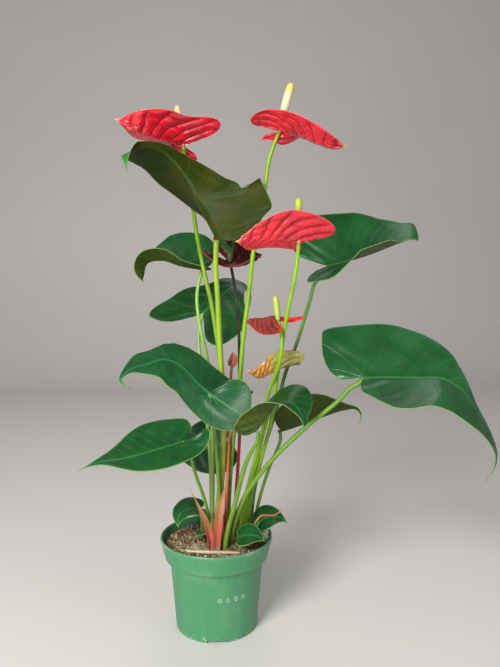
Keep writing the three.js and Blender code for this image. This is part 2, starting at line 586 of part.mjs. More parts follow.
// ---- stems --------------------------------------------------------------------------------------
// The line from the blade down to the soil, the radius at the top and at the foot, and its piece.
const STEMS = {
  petiole_top: ["leaf_top", [2.5, 3.2, 4],
    [[1, -10, 410], [0, -9, 388], [2, -8, 349], [4, -6, 302], [6, -5, 263], [8, -5, 211], [6, -5, 168], [2, -7, 126],
      [-1, -10, 96]]],
  petiole_left_high: ["leaf_left_high", [1.9, 2.2],
    [[-15, 55, 382], [-21, 47, 354], [-19, 40, 327], [-13, 36, 298], [-10, 34, 284], [-5, 28, 216], [-4, 24, 149],
      [-5, 21, 96]]],
  petiole_back: ["leaf_back", [1.7, 2],
    [[-15, 85, 332], [-19, 82, 318], [-20, 76, 295], [-18, 70, 276], [-12, 56, 224], [-7, 42, 160], [-6, 33, 96]]],
  petiole_right_high: ["leaf_right_high", [1.9, 2.2],
    [[121, 15, 384], [117, 15, 375], [108, 17, 367], [103, 19, 349], [97, 22, 327], [87, 23, 295], [78, 23, 272],
      [65, 20, 224], [56, 18, 196], [48, 19, 167], [43, 22, 142], [40, 25, 118], [39, 26, 96]]],
  petiole_right_large: ["leaf_right_large", [2.2, 2.6],
    [[146, -50, 272], [141, -49, 266], [135, -48, 263], [123, -46, 250], [90, -40, 221], [48, -30, 175],
      [30, -24, 147], [20, -19, 119], [15, -16, 97]]],
  petiole_left_large: ["leaf_left_large", [1.8, 2.2],
    [[-6, -35, 255], [-6, -30, 243], [-3, -24, 226], [0, -18, 193], [2, -15, 160], [4, -15, 117], [5, -18, 96]]],
  petiole_left_low: ["leaf_left_low", [1.6, 1.8],
    [[-34, -35, 207], [-29, -33, 199], [-26, -32, 190], [-20, -28, 167], [-14, -22, 148], [-9, -17, 126], [-8, -15, 96]]],
  petiole_rear_low: ["leaf_rear_low", [1.7, 2], [[18, 60, 184], [18, 54, 170], [14, 42, 143], [11, 30, 114], [9, 24, 96]]],
  petiole_front: ["leaf_front", [1.4, 2.4, 2.5, 2.6],
    [[41, -50.5, 219], [41, -48, 211], [36, -42, 199], [31, -36, 187], [26, -32, 170], [19, -28, 140], [11, -26, 108],
      [9, -26, 94]]],
  petiole_right_low: ["leaf_right_low", [1.7, 2],
    [[69, 12, 207], [70, 12, 196], [65, 12, 182], [59, 14, 167], [53, 18, 147], [48, 22, 127], [45, 24, 112],
      [45, 24, 96]]],
  petiole_soil_left: ["leaf_soil_left", [1.1, 1.3], [[-18, 16, 120], [-17, 16, 108], [-16, 16, 96]]],
  petiole_soil_right: ["leaf_soil_right", [1.1, 1.3], [[46, 0, 109], [43, -3, 101], [42, -5, 94]]],
  petiole_round: ["leaf_round", [1.1, 1.3], [[26, -28, 105], [26, -27, 100], [26, -26, 94]]],
  petiole_tiny: ["leaf_tiny", [0.9, 1.1], [[-14, 2, 98], [-14, 3, 95], [-14, 4, 92]]],
  stalk_top_left: ["spathe_top_left", [2.3, 2.6],
    [[-35, 45, 518], [-31, 56, 487], [-26, 64, 456], [-21, 50, 422], [-16, 32, 396], [-11, 25, 372], [-5, 24, 346],
      [0, 23, 315], [4, 21, 286], [7, 18, 239], [7, 14, 185], [5, 10, 131], [4, 8, 96]]],
  stalk_top_right: ["spathe_top_right", [2, 2.8],
    [[66, -10, 520], [56, -10, 495], [51, -10, 465], [45, -10, 430], [39, -8, 398], [35, -6, 360], [28, -3, 301],
      [26, 0, 272], [19, 2, 210], [16, 2, 178], [13, 2, 133], [12, 3, 96]]],
  stalk_middle: ["spathe_middle", [1.9, 2.2],
    [[79, -60, 403], [77, -57, 378], [70, -50, 338], [66.5, -42, 313], [64, -35, 290], [61, -27, 262], [56, -18, 218],
      [48, -10, 184], [38, -3, 148], [31, 2, 114], [29, 3, 96]]],
  stalk_rear: ["spathe_rear", [1.6, 2],
    [[16, 40, 390], [20, 39, 370], [23, 38, 348], [26, 36, 298], [26, 33, 266], [26, 26, 204], [23, 18, 154],
      [20, 13, 118], [19, 11, 96]]],
  stalk_small: ["spathe_small", [1.7, 2],
    [[61, -45, 329], [64, -49, 315], [64, -49, 299], [61, -38, 278], [54, -23, 254], [48, -17, 213], [41, -15, 185],
      [32, -11, 147], [26, -9, 116], [23, -8, 96]]],
  stalk_faded: ["spathe_faded", [1.5, 1.8],
    [[66, -4, 277], [64, -4, 259], [57, -1, 231], [49, 2, 198], [40, 8, 153], [36, 12, 125], [34, 14, 96]]],
  stalk_bud: ["bud", [1.5, 1.8], [[17, 12, 278], [15, 8, 250], [14, -2, 211], [12, -6, 168], [10, -7, 126], [9, -6, 96]]],
};

// The dry sheaths round the crown, and the young bud.
const SHEATHS = {
  sheath_centre: {
    spine: [[0, -25, 84], [1, -25, 110], [4, -25, 135], [9, -24, 155], [15, -24, 174]],
    width: 5, lobe: 1, fold: 35, tip: 0.3, roll: 90, widest: 0.3,
  },
  sheath_left: {
    spine: [[-7, -25, 84], [-8, -25, 108], [-15, -27, 130], [-22, -27, 145], [-28, -27, 158]],
    width: 4, lobe: 1, fold: 35, tip: 0.3, roll: 90, widest: 0.3,
  },
};
const BUD = {
  spine: [[17, 12, 278], [19, 11, 286], [17, 10, 293]], width: 6, lobe: 1.5, fold: 45, tip: 0.1, full: 0.7, roll: 90,
};
const TWIG = [[[37, -13, 84], [38, -13, 106], [47, -14, 121], [62, -14, 122], [73, -14, 133]], [1.5, 1.1, 0.6]];
const ROOT = [[[-36, -27, 91], [-14, -36, 93], [14, -38, 92.5], [24, -36, 91]], [1.3, 1.8, 1.4]];

// ---- building -----------------------------------------------------------------------------------
const COLOURS = {
  pot: "#5aa578", soil: "#5b4636", leaf: "#14582f", spathe: "#c4182f", spathe_rear: "#4a0f16",
  spathe_faded: "#a8742c", spadix: "#efe6b0", petiole: "#7fae3c", stalk: "#8fc23e", sheath: "#b8704a",
  root: "#d8cfae", bud: "#a0403a",
};
const part = new THREE.Group();
part.name = "potted_anthurium";

function add(name, body, colour, roughness) {
  const m = body.getMesh();
  const n = m.numProp;
  const points = new Float32Array(m.numVert * 3);
  for (let i = 0; i < m.numVert; i++) points.set(m.vertProperties.subarray(i * n, i * n + 3), i * 3);
  const g = new THREE.BufferGeometry();
  g.setAttribute("position", new THREE.BufferAttribute(points, 3));
  g.setIndex(new THREE.BufferAttribute(new Uint32Array(m.triVerts), 1));
  g.computeVertexNormals();
  const mesh = new THREE.Mesh(g, new THREE.MeshStandardMaterial({ color: colour, roughness }));
  mesh.name = name;
  part.add(mesh);
}

// The raised net of a spathe: ribs across the half, deepest between the midrib and the margin.
const quilt = (side, t, v) =>
  QUILT * Math.sin(Math.PI * v) * Math.cos(2 * Math.PI * (5 * t + 0.8 * v + 0.25 * side));

const blades = {};
const grownBlades = {};
for (const [name, leaf] of Object.entries(LEAVES)) {
  const [rows, columns] = SMALL.includes(name) ? [8, 2] : [12, 3];
  blades[name] = blade(leaf, LEAF_THICKNESS, rows, columns);
  add(name, blades[name], COLOURS.leaf, 0.35);
  grownBlades[name] = blade(leaf, LEAF_THICKNESS + 2 * FIT, rows, columns, null, FIT);
}
for (const [name, leaf] of Object.entries(SPATHES)) {
  const rows = name === "spathe_faded" || name === "spathe_small" ? 10 : 13;
  blades[name] = blade(leaf, SPATHE_THICKNESS, rows, 3, quilt);
  add(name, blades[name], COLOURS[name] ?? COLOURS.spathe, 0.25);
  grownBlades[name] = blade(leaf, SPATHE_THICKNESS + 2 * FIT, rows, 3, quilt, FIT);
}
grownBlades.bud = blade(BUD, 1 + 2 * FIT, 8, 2, null, FIT);
blades.bud = blade(BUD, 1, 8, 2);
add("bud", blades.bud, COLOURS.bud, 0.5);

// A line begun a little further on.
function late(line, gap) {
  const [a, b] = [vec(line[0]), vec(line[1])];
  return [a.addScaledVector(b.sub(a).normalize(), gap).toArray(), ...line.slice(1)];
}
// A stem's line from just under its blade down to its end in the soil.
function whole(line) {
  const foot = line[line.length - 1];
  return [...late(line, STEM_GAP), [foot[0], foot[1], FOOT_DEPTH]];
}
for (const [name, [line, radii]] of Object.entries(SPADICES))
  add(name, stem(late(line, SPADIX_GAP), radii, 8, 8, 0, 1), COLOURS.spadix, 0.6);

let soil = soilBody();
for (const [name, [on, radii, line]] of Object.entries(STEMS)) {
  const rows = line.length > 6 ? LONG : SHORT;
  const made = clear(stem(whole(line), radii, 6, rows), grownBlades[on], blades[on]);
  add(name, made, COLOURS[name.split("_")[0]], 0.5);
  soil = soil.subtract(stem(whole(line), radii, 6, rows, FIT));
}
for (const [name, sheath] of Object.entries(SHEATHS)) {
  add(name, blade(sheath, 0.8, 9, 2), COLOURS.sheath, 0.7);
  const [x, y, z] = sheath.spine[0];
  soil = soil.subtract(stem([[x, y, z - 3], sheath.spine[1]], sheath.width, 8, 2, FIT));
}
add("sheath_right", stem(...TWIG, 6, 9), COLOURS.sheath, 0.7);
soil = soil.subtract(stem(...TWIG, 6, 9, FIT));
add("root_front", stem(...ROOT, 6, 8), COLOURS.root, 0.8);
soil = clear(soil, stem(...ROOT, 6, 8, FIT));
add("soil", soil, COLOURS.soil, 0.95);
add("pot", pot, COLOURS.pot, 0.55);

export default part;
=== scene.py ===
"""A potted flamingo flower with heart-shaped leaves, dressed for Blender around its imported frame.

Lengths in the tables are millimetres in the part's own frame: +Z up, -Y towards the front, and the
origin at the centre of the pot's underside. Meshes are written in metres.
"""

import logging
import math
from collections.abc import Callable, Iterable, Sequence
from dataclasses import dataclass, field
from enum import Enum
from functools import partial

import bpy
import numpy as np
from mathutils import Euler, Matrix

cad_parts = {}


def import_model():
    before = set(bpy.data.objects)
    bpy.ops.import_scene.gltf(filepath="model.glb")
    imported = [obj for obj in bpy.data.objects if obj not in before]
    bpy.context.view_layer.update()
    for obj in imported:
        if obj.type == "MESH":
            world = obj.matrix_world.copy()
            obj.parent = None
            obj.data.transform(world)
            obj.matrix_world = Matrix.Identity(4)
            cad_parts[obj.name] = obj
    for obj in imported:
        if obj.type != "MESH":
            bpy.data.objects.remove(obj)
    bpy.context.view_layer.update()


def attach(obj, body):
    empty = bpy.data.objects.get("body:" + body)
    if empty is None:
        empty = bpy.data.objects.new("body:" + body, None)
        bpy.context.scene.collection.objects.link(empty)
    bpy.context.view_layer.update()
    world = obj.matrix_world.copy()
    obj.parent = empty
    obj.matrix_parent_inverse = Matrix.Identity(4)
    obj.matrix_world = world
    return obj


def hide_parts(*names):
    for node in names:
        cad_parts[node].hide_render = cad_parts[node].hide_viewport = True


LOG = logging.getLogger("anthurium")
MM = 0.001
Point = tuple[float, float, float]
Colour = tuple[float, float, float]
Array = np.ndarray


# ---- shader maths ----------------------------------------------------------------------------

LINE_CORE = 0.4  # share of a drawn line's half width that keeps its full strength


class Sock:
    """A shader value that arithmetic operators can be used on."""

    def __init__(self, tree: bpy.types.NodeTree, socket: bpy.types.NodeSocket) -> None:
        """Wraps an output socket of a node tree."""
        self.tree = tree
        self.socket = socket

    def _maths(self, operation: str, *values: "Sock | float") -> "Sock":
        """Adds one Math node.

        Args:
            operation: The node's operation.
            values: Its inputs, sockets or numbers.

        Returns:
            The node's value.
        """
        node = self.tree.nodes.new("ShaderNodeMath")
        node.operation = operation
        for place, value in zip(node.inputs, values):
            if isinstance(value, Sock):
                self.tree.links.new(value.socket, place)
            else:
                place.default_value = value
        return Sock(self.tree, node.outputs[0])

    def __add__(self, other: "Sock | float") -> "Sock":
        """Sum."""
        return self._maths("ADD", self, other)

    __radd__ = __add__

    def __sub__(self, other: "Sock | float") -> "Sock":
        """Difference."""
        return self._maths("SUBTRACT", self, other)

    def __rsub__(self, other: float) -> "Sock":
        """Difference from a number."""
        return self._maths("SUBTRACT", other, self)

    def __mul__(self, other: "Sock | float") -> "Sock":
        """Product."""
        return self._maths("MULTIPLY", self, other)

    __rmul__ = __mul__

    def __truediv__(self, other: "Sock | float") -> "Sock":
        """Quotient."""
        return self._maths("DIVIDE", self, other)

    def __pow__(self, other: "Sock | float") -> "Sock":
        """Power."""
        return self._maths("POWER", self, other)

    def __abs__(self) -> "Sock":
        """Size without sign."""
        return self._maths("ABSOLUTE", self)

    def fraction(self) -> "Sock":
        """The part after the point."""
        return self._maths("FRACT", self)

    def larger(self, other: "Sock | float") -> "Sock":
        """The larger of two values."""
        return self._maths("MAXIMUM", self, other)

    def over(self, limit: "Sock | float") -> "Sock":
        """1 where the value is over the limit, else 0."""
        return self._maths("GREATER_THAN", self, limit)

    def angle(self, other: "Sock | float") -> "Sock":
        """Angle of the point (other, self)."""
        return self._maths("ARCTAN2", self, other)

    def ramp(self, low: "Sock | float", high: "Sock | float") -> "Sock":
        """A smooth step from 0 at low to 1 at high, which may also fall."""
        node = self.tree.nodes.new("ShaderNodeMapRange")
        node.interpolation_type = "SMOOTHSTEP"
        for name, value in (("Value", self), ("From Min", low), ("From Max", high)):
            if isinstance(value, Sock):
                self.tree.links.new(value.socket, node.inputs[name])
            else:
                node.inputs[name].default_value = value
        return Sock(self.tree, node.outputs["Result"])

    def line(self, width: float) -> "Sock":
        """1 where the value is near 0, falling to 0 at the given distance."""
        return abs(self).ramp(width, width * LINE_CORE)


class Shader:
    """A material under construction, with one Principled surface."""

    def __init__(self, name: str) -> None:
        """Starts an empty material."""
        self.material = bpy.data.materials.new(name)
        self.material.use_nodes = True
        self.tree = self.material.node_tree
        self.tree.nodes.clear()
        self.surface = self.tree.nodes.new("ShaderNodeBsdfPrincipled")
        output = self.tree.nodes.new("ShaderNodeOutputMaterial")
        self.tree.links.new(self.surface.outputs[0], output.inputs["Surface"])

    def node(
        self,
        kind: str,
        settings: dict[str, object] | None = None,
        inputs: dict[str | int, object] | None = None,
        output: str | int = 0,
    ) -> Sock:
        """Adds one node.

        Args:
            kind: The node's type.
            settings: Attributes set before anything else.
            inputs: Values or links by the name or number of their sockets.
            output: Name or number of the output that is returned.

        Returns:
            That output.
        """
        made = self.tree.nodes.new(kind)
        for key, value in (settings or {}).items():
            setattr(made, key, value)
        for key, value in (inputs or {}).items():
            if isinstance(value, Sock):
                self.tree.links.new(value.socket, made.inputs[key])
            else:
                made.inputs[key].default_value = value
        return Sock(self.tree, made.outputs[output])

    def plain(self, **values: float) -> None:
        """Sets numbers that are the same all over the surface."""
        for key, value in values.items():
            self.surface.inputs[key.replace("_", " ")].default_value = value

    def feed(self, name: str, value: Sock) -> None:
        """Links a varying value to the surface."""
        self.tree.links.new(value.socket, self.surface.inputs[name])

    def attribute(self, name: str, output: str = "Vector") -> Sock:
        """Reads an attribute that the mesh carries."""
        return self.node("ShaderNodeAttribute", {"attribute_name": name}, output=output)

    def split(self, vector: Sock) -> tuple[Sock, Sock, Sock]:
        """The three numbers of a vector."""
        made = self.tree.nodes.new("ShaderNodeSeparateXYZ")
        self.tree.links.new(vector.socket, made.inputs[0])
        return tuple(Sock(self.tree, made.outputs[k]) for k in range(3))

    def place(self) -> Sock:
        """Position on the object, in metres."""
        return self.node("ShaderNodeTexCoord", output="Object")

    def scaled(self, vector: Sock, scale: Point) -> Sock:
        """A vector multiplied along each axis."""
        return self.node("ShaderNodeVectorMath", {"operation": "MULTIPLY"}, {0: vector, 1: scale})

    def noise(self, vector: Sock, scale: float, detail: float, roughness: float = 0.55) -> Sock:
        """Cloudy values around one half."""
        return self.node(
            "ShaderNodeTexNoise",
            inputs={"Vector": vector, "Scale": scale, "Detail": detail, "Roughness": roughness},
            output="Fac",
        )

    def cells(self, vector: Sock, scale: float, feature: str = "DISTANCE_TO_EDGE") -> Sock:
        """Distance in a pattern of cells."""
        return self.node(
            "ShaderNodeTexVoronoi",
            {"feature": feature},
            {"Vector": vector, "Scale": scale},
            output="Distance",
        )

    def mix(self, amount: Sock, first: Sock | Colour, second: Sock | Colour) -> Sock:
        """Two colours mixed.

        Args:
            amount: Share of the second colour.
            first: Colour at 0.
            second: Colour at 1.

        Returns:
            The mixed colour.
        """
        made = self.tree.nodes.new("ShaderNodeMix")
        made.data_type = "RGBA"
        for place, value in ((0, amount), (6, first), (7, second)):
            if isinstance(value, Sock):
                self.tree.links.new(value.socket, made.inputs[place])
            else:
                made.inputs[place].default_value = (*value, 1.0)
        return Sock(self.tree, made.outputs[2])

    def bump(self, height: Sock, depth: float, strength: float) -> None:
        """Feeds the surface's normal with a relief of the given depth in metres."""
        self.feed(
            "Normal",
            self.node(
                "ShaderNodeBump",
                inputs={"Height": height, "Distance": depth, "Strength": strength},
                output="Normal",
            ),
        )


# ---- finishes --------------------------------------------------------------------------------

VEIN_LEAN = 0.72  # how far a side vein runs forward for each millimetre outwards
VEIN_ARCH = 0.0022  # how it bends back, per square millimetre outwards
VEIN_STEP = 0.105  # spacing of the side veins as a share of the blade's length
FAN_VEINS = (0.95, 1.55, 2.2, 2.75)  # radians from the midrib of the veins that fan out
FAN_TWIST = 0.004  # turn of a fanned vein for each millimetre outwards
HEM_VEIN = 0.07  # place of the vein along the margin, as a share of the half width


@dataclass(frozen=True)
class LeafFinish:
    """Waxy leaf skin: dark green above, olive below, with paler arching veins and a pale rim.

    Attributes:
        name: Name of the material.
        upper: Colour of the upper side.
        under: Colour of the lower side.
        vein: Colour of the veins above.
        rim: Colour of the thin margin.
        gloss: Roughness of the upper side.
        sheen: Strength of its reflection.
    """

    name: str
    upper: Colour = (0.004, 0.047, 0.009)
    under: Colour = (0.022, 0.046, 0.004)
    vein: Colour = (0.022, 0.120, 0.030)
    rim: Colour = (0.16, 0.30, 0.07)
    gloss: float = 0.30
    sheen: float = 0.22

    def build(self) -> bpy.types.Material:
        """Makes the material."""
        s = Shader(self.name)
        along, across, edge = s.split(s.attribute("blade"))
        width, length, below = s.split(s.attribute("size"))
        side = abs(across)
        reach = side / width
        lead = along - side * VEIN_LEAN + side * side * VEIN_ARCH
        step = length * VEIN_STEP
        lateral = ((lead / step + 0.5).fraction() - 0.5) * step
        fine = reach.ramp(1.02, 0.55)
        lateral = lateral.line(0.75) * lead.over(step * 0.4)
        turn = side.angle(along)
        far = (along * along + side * side) ** 0.5
        radial: Sock | None = None
        for angle in FAN_VEINS:
            ray = ((turn - angle - far * FAN_TWIST) * far).line(0.8)
            radial = ray if radial is None else radial.larger(ray)
        radial = radial * lead.ramp(step * 0.9, step * 0.2)
        rib = side.line(1.6)
        hem = (edge - width * HEM_VEIN).line(0.55) * 0.6
        veins = lateral.larger(radial * 0.9).larger(hem) * fine.larger(0.35)
        veins = veins.larger(rib)
        margin = edge.ramp(1.1, 0.2)
        cloud = s.noise(s.place(), 28.0, 4.0)
        net = s.cells(s.place(), 240.0)
        top = s.mix(cloud.ramp(0.3, 0.75), self.upper, tuple(c * 1.6 + 0.004 for c in self.upper))
        top = s.mix(fine * veins * 0.35, top, self.vein)
        top = s.mix(rib * 0.6, top, tuple(c * 1.4 for c in self.vein))
        brown = (self.under[0] * 2.4, self.under[1] * 1.35, self.under[2])
        low = s.mix(cloud.ramp(0.35, 0.8), self.under, brown)
        low = s.mix(veins * 0.5, low, tuple(c * 1.8 + 0.01 for c in self.under))
        skin = s.mix(below, top, low)
        s.feed("Base Color", s.mix(margin * 0.85, skin, self.rim))
        s.feed("Roughness", below * 0.22 + cloud * 0.12 + (self.gloss - 0.04))
        relief = veins * (1 - below * 2) * -0.45 + net.ramp(0.0, 0.25) * 0.12 + cloud * 0.5
        s.bump(relief, 0.0005, 0.6)
        s.plain(Specular_IOR_Level=self.sheen, Coat_Weight=self.sheen * 0.15, Coat_Roughness=0.16)
        return s.material


@dataclass(frozen=True)
class SpatheFinish:
    """Lacquered flower skin, glossy with a raised net, with painted highlights on the cushions and
    painted shade in the grooves.

    Attributes:
        name: Name of the material.
        upper: Colour of the upper side.
        under: Colour of the lower side.
        ageing: Colour that it turns to in patches.
        aged: Share that has turned.
        gloss: Roughness.
        tip: Colour of the tip.
        rim: Colour of the margin.
        heel: Colour of the lobes behind the stem, where it differs.
        heel_from: Share of the length where that colour begins.
    """

    name: str
    upper: Colour = (0.66, 0.006, 0.026)
    under: Colour = (0.72, 0.008, 0.030)
    ageing: Colour = (0.36, 0.02, 0.02)
    aged: float = 0.15
    gloss: float = 0.20
    tip: Colour = (0.80, 0.50, 0.20)
    rim: Colour = (0.62, 0.12, 0.09)
    heel: Colour | None = None
    heel_from: float = 0.35

    def build(self) -> bpy.types.Material:
        """Makes the material."""
        s = Shader(self.name)
        along, _, edge = s.split(s.attribute("blade"))
        _, length, below = s.split(s.attribute("size"))
        down = along / length
        place = s.place()
        cloud = s.noise(place, 40.0, 4.0)
        net = s.cells(place, 150.0)
        rise = s.attribute("rise", "Fac")
        skin = s.mix(cloud.ramp(0.35, 0.7), self.upper, tuple(c * 0.7 for c in self.upper))
        # Painted highlight: the middles of the cushions are lightened towards a paler red.
        raised = tuple(min(0.8, c * 1.25 + 0.03) for c in self.upper)
        skin = s.mix(rise.ramp(0.5, 1.0) * 0.35, skin, raised)
        low = s.mix(cloud.ramp(0.35, 0.7), self.under, tuple(c * 0.6 for c in self.under))
        skin = s.mix(below, skin, low)
        # Painted shade: the grooves between the cushions are darkened towards a near-black red.
        skin = s.mix(rise.ramp(0.5, 0.05) * 0.8, skin, tuple(c * 0.22 for c in self.upper))
        skin = s.mix(cloud.ramp(0.62 - 0.3 * self.aged, 0.75) * self.aged * 2.0, skin, self.ageing)
        if self.heel is not None:
            skin = s.mix(down.ramp(self.heel_from, self.heel_from - 0.35) * 0.9, skin, self.heel)
        skin = s.mix(down.ramp(0.90, 0.985) * 0.9, skin, self.tip)
        s.feed("Base Color", s.mix(edge.ramp(0.9, 0.2) * 0.35, skin, self.rim))
        s.feed("Roughness", cloud * 0.12 + below * 0.05 + (self.gloss - 0.04))
        s.bump(net.ramp(0.0, 0.3) * 0.6 + cloud * 0.5, 0.0008, 0.5)
        mirror, coat = (0.5, 0.6) if self.gloss < 0.3 else (0.12, 0.03)
        s.plain(Specular_IOR_Level=mirror, Coat_Weight=coat, Coat_Roughness=0.10)
        return s.material


@dataclass(frozen=True)
class SpadixFinish:
    """Spike of tiny beads that changes colour towards its tip, with painted shade between the beads.

    Attributes:
        name: Name of the material.
        foot: Colour at the foot.
        middle: Colour half way.
        tip: Colour of the tip.
    """

    name: str
    foot: Colour = (0.58, 0.52, 0.30)
    middle: Colour = (0.64, 0.60, 0.40)
    tip: Colour = (0.70, 0.55, 0.03)

    def build(self) -> bpy.types.Material:
        """Makes the material."""
        s = Shader(self.name)
        rise = s.attribute("rise", "Fac")
        bead = s.attribute("bead", "Fac")
        skin = s.mix(rise.ramp(0.0, 0.35), self.foot, self.middle)
        skin = s.mix(rise.ramp(0.72, 0.88), skin, self.tip)
        grain = s.noise(s.place(), 600.0, 2.0)
        # Painted shade: the hollows between the beads are darkened.
        skin = s.mix(bead.ramp(0.55, 0.0) * 0.45, skin, tuple(c * 0.55 for c in self.middle))
        s.feed("Base Color", s.mix(grain.ramp(0.4, 0.7) * 0.2, skin, self.foot))
        s.feed("Roughness", grain * 0.2 + 0.45)
        s.bump(grain, 0.0003, 0.4)
        s.plain(Specular_IOR_Level=0.4)
        return s.material


@dataclass(frozen=True)
class StemFinish:
    """Smooth fleshy stem, tinted towards its foot.

    Attributes:
        name: Name of the material.
        high: Colour near the blade.
        low: Colour near the soil.
        joint: Colour of the swelling under the blade.
        foot: Colour of the foot, where it differs.
        reach: Share of the height that the foot's colour climbs.
    """

    name: str
    high: Colour = (0.22, 0.42, 0.035)
    low: Colour = (0.16, 0.28, 0.03)
    joint: Colour = (0.20, 0.36, 0.05)
    foot: Colour | None = None
    reach: float = 0.4

    def build(self) -> bpy.types.Material:
        """Makes the material."""
        s = Shader(self.name)
        rise = s.attribute("rise", "Fac")
        place = s.place()
        streak = s.noise(s.scaled(place, (1, 1, 0.06)), 700.0, 2.0)
        cloud = s.noise(place, 45.0, 3.0)
        skin = s.mix(rise.ramp(0.05, 0.75), self.low, self.high)
        skin = s.mix(rise.ramp(0.94, 1.0) * 0.7, skin, self.joint)
        if self.foot is not None:
            skin = s.mix(rise.ramp(self.reach, self.reach * 0.7), skin, self.foot)
            paler = tuple(c * 0.5 + 0.3 for c in self.foot)
            skin = s.mix(rise.ramp(self.reach * 0.45, 0.0) * 0.7, skin, paler)
        skin = s.mix(cloud.ramp(0.45, 0.75) * 0.4, skin, tuple(c * 0.55 for c in self.low))
        bright = tuple(min(0.8, c * 1.3) for c in self.high)
        s.feed("Base Color", s.mix(streak.ramp(0.45, 0.7) * 0.2, skin, bright))
        s.feed("Roughness", cloud * 0.2 + 0.28)
        s.bump(streak, 0.0003, 0.35)
        s.plain(Specular_IOR_Level=0.3)
        return s.material


@dataclass(frozen=True)
class PlasticFinish:
    """Green moulded plastic of the nursery pot, with faint flow streaks and dust.

    Attributes:
        name: Name of the material.
        body: Colour of the plastic.
        dust: Colour of the dust and dried water marks.
        scuffed: Colour of the scratches around the foot.
    """

    name: str
    body: Colour = (0.046, 0.200, 0.088)
    dust: Colour = (0.30, 0.36, 0.25)
    scuffed: Colour = (0.50, 0.62, 0.52)

    def build(self) -> bpy.types.Material:
        """Makes the material."""
        s = Shader(self.name)
        place = s.place()
        _, _, height = s.split(place)
        streak = s.noise(s.scaled(place, (1, 1, 0.08)), 160.0, 3.0)
        cloud = s.noise(place, 26.0, 4.0)
        speck = s.cells(place, 420.0, "F1")
        skin = s.mix(streak.ramp(0.35, 0.7) * 0.5, self.body, tuple(c * 1.22 for c in self.body))
        skin = s.mix(cloud.ramp(0.5, 0.75) * 0.12, skin, self.dust)
        splash = height.ramp(0.090, 0.0975) * cloud.ramp(0.42, 0.6)
        skin = s.mix(splash * 0.35, skin, self.dust)
        scuff = height.ramp(0.009, 0.001) * s.noise(place, 420.0, 4.0).ramp(0.55, 0.66)
        skin = s.mix(scuff * 0.7, skin, self.scuffed)
        s.feed("Base Color", s.mix(speck.ramp(0.12, 0.0) * 0.35, skin, tuple(c * 0.6 for c in self.body)))
        s.feed("Roughness", cloud * 0.16 + 0.36)
        s.bump(streak * 0.4 + s.noise(place, 900.0, 2.0) * 0.4, 0.0002, 0.35)
        s.plain(Specular_IOR_Level=0.45)
        return s.material


@dataclass(frozen=True)
class LooseFinish:
    """Grains, fibres and crumbs of the potting mix, with painted shade in the hollows of the soil.

    Attributes:
        name: Name of the material.
        dark: Colour in the hollows.
        light: Colour of the raised grains.
        grain: Size of the pattern, cells per metre.
    """

    name: str
    dark: Colour
    light: Colour
    grain: float = 420.0

    def build(self) -> bpy.types.Material:
        """Makes the material."""
        s = Shader(self.name)
        place = s.place()
        cloud = s.noise(place, self.grain * 0.16, 5.0, 0.65)
        grit = s.cells(place, self.grain, "F1")
        shade_and_tone = s.attribute("shade_and_tone", "Fac")
        skin = s.mix(cloud.ramp(0.32, 0.68), self.dark, self.light)
        skin = s.mix(grit.ramp(0.5, 0.1) * 0.35, skin, tuple(c * 1.5 for c in self.light))
        # Painted shade in the soil's hollows, and a random darker tone on each loose piece, both from the
        # same value.
        s.feed("Base Color", s.mix(shade_and_tone * 0.55, skin, tuple(c * 0.35 for c in self.dark)))
        s.feed("Roughness", cloud * 0.2 + 0.75)
        s.bump(cloud + grit * 0.4, 0.0012, 0.8)
        s.plain(Specular_IOR_Level=0.25)
        return s.material


@dataclass(frozen=True)
class PaintFinish:
    """Thin pale ink on the pot.

    Attributes:
        name: Name of the material.
        ink: Colour of the ink.
        worn: Colour where it is worn thin.
    """

    name: str
    ink: Colour = (0.42, 0.62, 0.47)
    worn: Colour = (0.16, 0.42, 0.22)

    def build(self) -> bpy.types.Material:
        """Makes the material."""
        s = Shader(self.name)
        cloud = s.noise(s.place(), 500.0, 3.0)
        s.feed("Base Color", s.mix(cloud.ramp(0.45, 0.7) * 0.35, self.ink, self.worn))
        s.feed("Roughness", cloud * 0.1 + 0.5)
        return s.material


# ---- lines and blades ------------------------------------------------------------------------

TINY = 1e-12  # lengths under this count as none
UPRIGHT = 1e-3  # sine of the angle to the vertical under which a line counts as upright
FLAT = 1e-4  # bend in radians under which a half counts as unbent
FINE = 80  # lengths that a midrib is cut into
NOTCH_START = 0.1  # place on the outline, 0 to 1, where a half begins in the notch
NOTCH_END = 0.2  # place where the outline rounds the end of the lobe
FLANK_END = 0.45  # place where it is widest
MID_START = 0.14  # place on the outline from which the strips start down the midrib
FLAT_TIP = 8.0  # half width in millimetres under which a fold flattens towards the tip
FOLD_REACH = 3.0  # distance from the midrib in millimetres over which its direction is blended in
CUSHION = 2.24  # depth of a hood's quilting in millimetres


def keyed(keys: float | Sequence[float], u: Array) -> Array:
    """Reads a value along a list of evenly spaced keys, u from 0 to 1."""
    if isinstance(keys, (int, float)):
        return np.full_like(u, float(keys))
    return np.interp(u, np.linspace(0, 1, len(keys)), np.asarray(keys, float))


def unit(v: Array) -> Array:
    """Vectors scaled to length 1."""
    return v / np.maximum(np.linalg.norm(v, axis=-1, keepdims=True), TINY)


